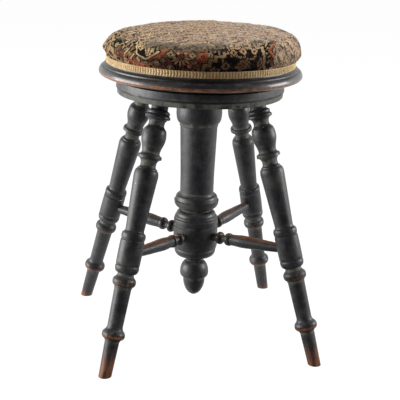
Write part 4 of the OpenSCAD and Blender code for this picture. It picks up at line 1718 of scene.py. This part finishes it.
    def _turned_in(
        self, shape: bmesh.types.BMesh, rim: Sequence[bmesh.types.BMLoop], height: float
    ) -> list[bmesh.types.BMLoop]:
        """Adds a band of faces from the rim to a ring under the braid, always in the same order.

        Args:
            shape: The cover's mesh.
            rim: The corner at which each of the rim's edges starts.
            height: Height of the ring.

        Returns:
            The corner at which each of the ring's edges starts.
        """
        ring = {}
        for corner in rim:
            way = Vector((corner.vert.co.x, corner.vert.co.y, 0)).normalized()
            place = way * (self.foot_radius - self.tuck) + Vector((0, 0, height))
            ring[corner.vert] = shape.verts.new(place)
        starts = []
        for corner in rim:
            after = corner.link_loop_next
            sides = (after.vert, corner.vert, ring[corner.vert], ring[after.vert])
            face = shape.faces.new(sides, corner.face)
            for made, model in zip(face.loops, (after, corner, corner, after)):
                made.copy_from(model)
            starts.append(face.loops[2])
        return starts


@dataclass
class Braid:
    """The gimp round the cushion's foot: two rows of slanting ribs between two cords.

    A rib's thread and a cord at the edge have a radius. The ribs' middle lines are sunk in the
    band's outer face, and the yarn carries painted shade from the gaps' depth out to the crests.
    """

    band: Box
    pitch: float = 4.8 * MM
    thread: float = 1.75 * MM
    edge: float = 0.6 * MM
    sunk: float = 1.35 * MM
    margin: float = 0.1 * MM
    # Depth from which the yarn carries painted shade in the gaps.
    gap_shade_depth: float = 0.9 * MM
    crest: float = 0.2 * MM

    def build(self) -> bpy.types.Object:
        """Makes the braid.

        Returns:
            The finished piece.
        """
        low, high = self.band
        outer = high.x
        sizes = {
            "Radius": outer - self.sunk,
            "Foot": low.z + self.margin,
            "Height": high.z - low.z - 2 * self.margin,
            "Thread": self.thread,
            "Edge": self.edge,
            "Count": round(2 * math.pi * outer / self.pitch),
            "Finish": BraidYarn(outer - self.gap_shade_depth, outer + self.crest).material(),
        }
        braid = grown("woven_gimp", self._tree(), sizes)
        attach(braid, "seat")
        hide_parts("gimp_braid")
        LOG.info("made %s of %d pairs of ribs", braid.name, sizes["Count"])
        return braid

    def _tree(self) -> bpy.types.NodeTree:
        """Builds the tree that sets the ribs round the seat, between their cords on a flat ground.

        Returns:
            The tree.
        """
        sizes = ("Radius", "Foot", "Height", "Thread", "Edge")
        tree = Growth("gimp", sizes, ("Count",))
        radius, foot, height, thread, edge = (tree.value(name) for name in sizes)
        middle = foot + height / 2
        angle = tree.number(tree.node("GeometryNodeInputIndex")) / tree.value("Count") * (2 * math.pi)
        places = {"Count": tree.value("Count"), "Position": tree.round_place(radius, angle, middle)}
        points = tree.node("GeometryNodePoints", places).outputs[0]
        quarter = tree.join(0.0, 0.0, angle - math.pi / 2)
        facing = tree.node("FunctionNodeEulerToRotation", {0: quarter}).outputs[0]
        shapes = []
        for way in (-1, 1):
            rib = self._rib(tree, height * (way / 2), thread, edge)
            row = {"Points": points, "Instance": rib, "Rotation": facing}
            shapes.append(tree.node("GeometryNodeInstanceOnPoints", row).outputs[0])
        cord = tree.node("GeometryNodeCurvePrimitiveCircle", {"Resolution": 6, "Radius": edge}).outputs[0]
        for share in (0.06, 0.94):
            shapes.append(self._hoop(tree, cord, 220, radius + thread * 0.5, foot + height * share))
        oblong = {"Width": thread * 0.6, "Height": height}
        ground = tree.node("GeometryNodeCurvePrimitiveQuadrilateral", oblong).outputs[0]
        shapes.append(self._hoop(tree, ground, 180, radius + thread * 0.2, middle))
        return tree.close(shapes)

    @staticmethod
    def _rib(tree: Growth, reach: Number, thread: Number, edge: Number) -> Socket:
        """Makes one slanting rib from the middle line to an edge.

        Args:
            tree: The braid's tree.
            reach: How far up or down the edge lies.
            thread: Radius of the rib.
            edge: Radius of the cord at the edge.

        Returns:
            The rib.
        """
        slant = thread * 0.6
        bow = {
            "Resolution": 4,
            "Start": tree.join(0.0, 0.0, reach * 0.04),
            "Middle": tree.join(slant * 0.75, edge * 0.6, reach * 0.5),
            "End": tree.join(slant, 0.0, reach * 0.9),
        }
        curve = tree.node("GeometryNodeCurveQuadraticBezier", bow).outputs[0]
        ring = {"Resolution": 6, "Radius": thread}
        profile = tree.node("GeometryNodeCurvePrimitiveCircle", ring).outputs[0]
        swept = {"Curve": curve, "Profile Curve": profile, "Fill Caps": True}
        return tree.node("GeometryNodeCurveToMesh", swept).outputs[0]

    @staticmethod
    def _hoop(tree: Growth, profile: Socket, steps: int, radius: Number, height: Number) -> Socket:
        """Runs a profile all round the seat.

        Args:
            tree: The braid's tree.
            profile: The profile.
            steps: How many straight stretches the hoop has.
            radius: Its radius.
            height: Its height.

        Returns:
            The hoop.
        """
        round_path = {"Resolution": steps, "Radius": radius}
        path = tree.node("GeometryNodeCurvePrimitiveCircle", round_path).outputs[0]
        hoop = tree.node("GeometryNodeCurveToMesh", {"Curve": path, "Profile Curve": profile}).outputs[0]
        lifted = {"Geometry": hoop, "Translation": tree.join(0.0, 0.0, height)}
        return tree.node("GeometryNodeTransform", lifted).outputs[0]


@dataclass
class Seat:
    """The part that turns: board, cushion and braid.

    The board has a bare lip, and a quirk painted dark with dirt and shade, at these heights over
    its underside. The cloth's own axes are turned to face a side.
    """

    nodes: Mapping[str, bpy.types.Object]
    skin: SmoothSkin
    facing: float
    lip: float = 3.7 * MM
    quirk: float = 16.8 * MM

    def build(self) -> None:
        """Dresses the board and makes the upholstery."""
        board = self.nodes["seat_board"]
        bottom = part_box("seat_board")[0].z
        wood = EbonisedWood(
            "seat_board_wood", Turning.of_node(board, upright=True), ACROSS,
            rub=0.35, rub_high=0.6, rub_least=0.6, worn_lip=bottom + self.lip, seams=(bottom + self.quirk,),
            polish=0.6, dusty=0.3,
        )
        dress(board, wood.material(), self.skin)
        Cover(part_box("seat_cover"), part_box("gimp_braid"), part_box("hair_pad")[0].z, self.facing).build()
        Braid(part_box("gimp_braid")).build()


@dataclass(frozen=True)
class Lamp:
    """A soft oblong lamp that faces the stool, placed as seen from the camera's side."""

    name: str
    place: Triple
    size: tuple[float, float]
    power: float
    mirrored: bool = True

    def hang(self, azimuth: float, aim_height: float) -> None:
        """Hangs the lamp.

        Args:
            azimuth: Direction of the camera's side.
            aim_height: Height of the point that it faces, on the stool's axis.
        """
        data = bpy.data.lights.new(self.name, "AREA")
        data.shape = "RECTANGLE"
        data.size, data.size_y = self.size
        data.energy = self.power
        lamp = linked(bpy.data.objects.new(self.name, data))
        lamp.location = Matrix.Rotation(azimuth, 3, "Z") @ Vector(self.place)
        aim = Vector((0, 0, aim_height)) - lamp.location
        lamp.rotation_euler = aim.to_track_quat("-Z", "Y").to_euler()
        lamp.visible_glossy = self.mirrored


@dataclass
class Studio:
    """The floor, the lamps and the camera, none of which is part of the stool.

    Attributes:
        frame_width: Width of the photograph in pixels, which also measure the focal length.
        stand_off: Distance of the camera from the stool's axis, along the floor.
        azimuth: Direction in which the camera stands, from the front of the stool.
        lamp_aim: Height of the point on the stool's axis that the lamps face.
        brightest: Direction of the brightest part of the room, seen from the camera's side.
        ambient: Strength of the light from all round.
        white: How white the floor looks, and how white in polished wood.
        floor_grey: How much light it throws back on the stool.
        shadow: How much its shadows show.
    """

    frame_width: float = 400
    focal_pixels: float = 1016.22
    sensor_width: float = 36.0
    stand_off: float = 1.6409
    height: float = 0.7260
    aside: float = -0.0273
    pitch: float = 0.2924
    roll: float = 0.0342
    yaw: float = 0.0203
    azimuth: float = -0.1799
    lamps: tuple[Lamp, ...] = (
        Lamp("key_lamp", (-1.80, -0.10, 0.40), (1.4, 1.0), 44.0),
        Lamp("fill_lamp", (1.75, 0.10, 0.75), (0.9, 0.7), 24.0),
        Lamp("top_lamp", (0.0, 0.35, 2.2), (1.4, 1.2), 38.0, mirrored=False),
    )
    lamp_aim: float = 0.32
    brightest: Triple = (-0.4, 1.0, 0.0)
    ambient: float = 0.12
    white: tuple[float, float] = (0.97, 0.88)
    floor_grey: float = 0.36
    shadow: float = 0.10
    floor_reach: float = 12.0

    def build(self) -> None:
        """Sets the whole studio up."""
        self._camera()
        for lamp in self.lamps:
            lamp.hang(self.azimuth, self.lamp_aim)
        self._world()
        self._floor()
        bpy.context.scene.view_settings.view_transform = "Standard"

    def _camera(self) -> None:
        """Puts the camera where the photograph was taken from."""
        data = bpy.data.cameras.new("camera")
        data.sensor_width = self.sensor_width
        data.lens = self.focal_pixels / self.frame_width * self.sensor_width
        camera = linked(bpy.data.objects.new("camera", data))
        aim = (
            Matrix.Rotation(-self.yaw, 4, "Z")
            @ Matrix.Rotation(math.pi / 2 - self.pitch, 4, "X")
            @ Matrix.Rotation(self.roll, 4, "Z")
        )
        stand = Matrix.Translation((self.aside, -self.stand_off, self.height))
        camera.matrix_world = Matrix.Rotation(self.azimuth, 4, "Z") @ stand @ aim
        bpy.context.scene.camera = camera

    def _mirrored(self, tree: Tree, way: Socket) -> Number:
        """Works out how bright the room looks in polished wood, by direction.

        Args:
            tree: The world's or the floor's tree.
            way: The direction, or a place on the floor, from the stool.

        Returns:
            White at the sides and behind the stool, and dark on the side of the camera.
        """
        level = tree.vector("NORMALIZE", tree.vector("MULTIPLY", way, (1, 1, 0)))
        turned = Matrix.Rotation(self.azimuth, 3, "Z") @ Vector(self.brightest)
        round_about = tree.measure("DOT_PRODUCT", level, tuple(turned)).mapped(-0.62, 0.20, 0.08, 1.0)
        overhead = tree.split(tree.vector("NORMALIZE", way))[2].eased(0.30, 0.75)
        return round_about * (1 - overhead * 0.82)

    @staticmethod
    def _rays(tree: Tree) -> tuple[Number, Number]:
        """Tells the kinds of rays apart.

        Args:
            tree: The world's or the floor's tree.

        Returns:
            Whether a ray comes from polish, and whether it comes from the camera or through glass.
        """
        path = tree.node("ShaderNodeLightPath")
        straight = tree.number(path, "Is Camera Ray").most(tree.number(path, "Is Transmission Ray"))
        return tree.number(path, "Is Glossy Ray"), straight

    def _world(self) -> None:
        """Makes a white surround for the eye and a softer one for light."""
        world = bpy.data.worlds.new("surround")
        world.use_nodes = True
        bpy.context.scene.world = world
        tree = Tree(world.node_tree)
        gloss, seen = self._rays(tree)
        mirrored = self._mirrored(tree, tree.node("ShaderNodeTexCoord").outputs["Generated"])
        strength = seen + (1 - seen) * (self.ambient * (1 - gloss) + gloss * mirrored)
        background = tree.node("ShaderNodeBackground", {"Color": (1, 1, 1, 1), "Strength": strength})
        tree.node("ShaderNodeOutputWorld", {"Surface": background.outputs[0]})

    def _floor(self) -> None:
        """Lays a white floor that keeps a faint shadow."""
        mesh = bpy.data.meshes.new("studio_floor")
        reach = self.floor_reach
        square = [(-reach, -reach, 0), (reach, -reach, 0), (reach, reach, 0), (-reach, reach, 0)]
        mesh.from_pydata(square, [], [(0, 1, 2, 3)])
        material = bpy.data.materials.new("white_floor")
        material.use_nodes = True
        tree = Tree(material.node_tree)
        gloss, straight = self._rays(tree)
        mirrored = self._mirrored(tree, tree.node("ShaderNodeTexCoord").outputs["Object"])
        shown = self.white[0] * (1 - gloss) + self.white[1] * gloss * mirrored
        lit, faint = (
            tree.node("ShaderNodeBsdfDiffuse", {"Color": (grey, grey, grey, 1)}).outputs[0]
            for grey in (self.floor_grey, self.shadow)
        )
        glow = tree.node("ShaderNodeEmission", {"Color": (1, 1, 1, 1), "Strength": shown}).outputs[0]
        white = tree.node("ShaderNodeAddShader", {0: glow, 1: faint}).outputs[0]
        both = tree.node("ShaderNodeMixShader", {0: straight.most(gloss), 1: lit, 2: white}).outputs[0]
        tree.node("ShaderNodeOutputMaterial", {"Surface": both})
        mesh.materials.append(material)
        new_piece("studio_floor", mesh)


def corners(box: Box) -> list[list[float]]:
    """Turns a box's two corners into plain lists."""
    return [list(corner) for corner in box]


def main() -> None:
    """Builds the stool's looks on its frame."""
    logging.basicConfig(level=logging.INFO, format="%(name)s: %(message)s")
    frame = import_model()
    nodes = frame["nodes"]
    joints = {joint["name"]: joint for joint in frame["joints"]}
    feet = {mount["name"]: Vector(mount["pos_m"]) for mount in frame["record"]["mounts"]}
    pitch = joints["seat_rise"]["range_m"][1] / (joints["seat_turn"]["range_deg"][1] / 360)
    skin = SmoothSkin()
    studio = Studio()
    studio.build()
    Stand(nodes, feet, skin).build()
    Ironwork(nodes, skin, pitch).build()
    Seat(nodes, skin, facing=studio.azimuth).build()


if __name__ == "__main__":
    main()
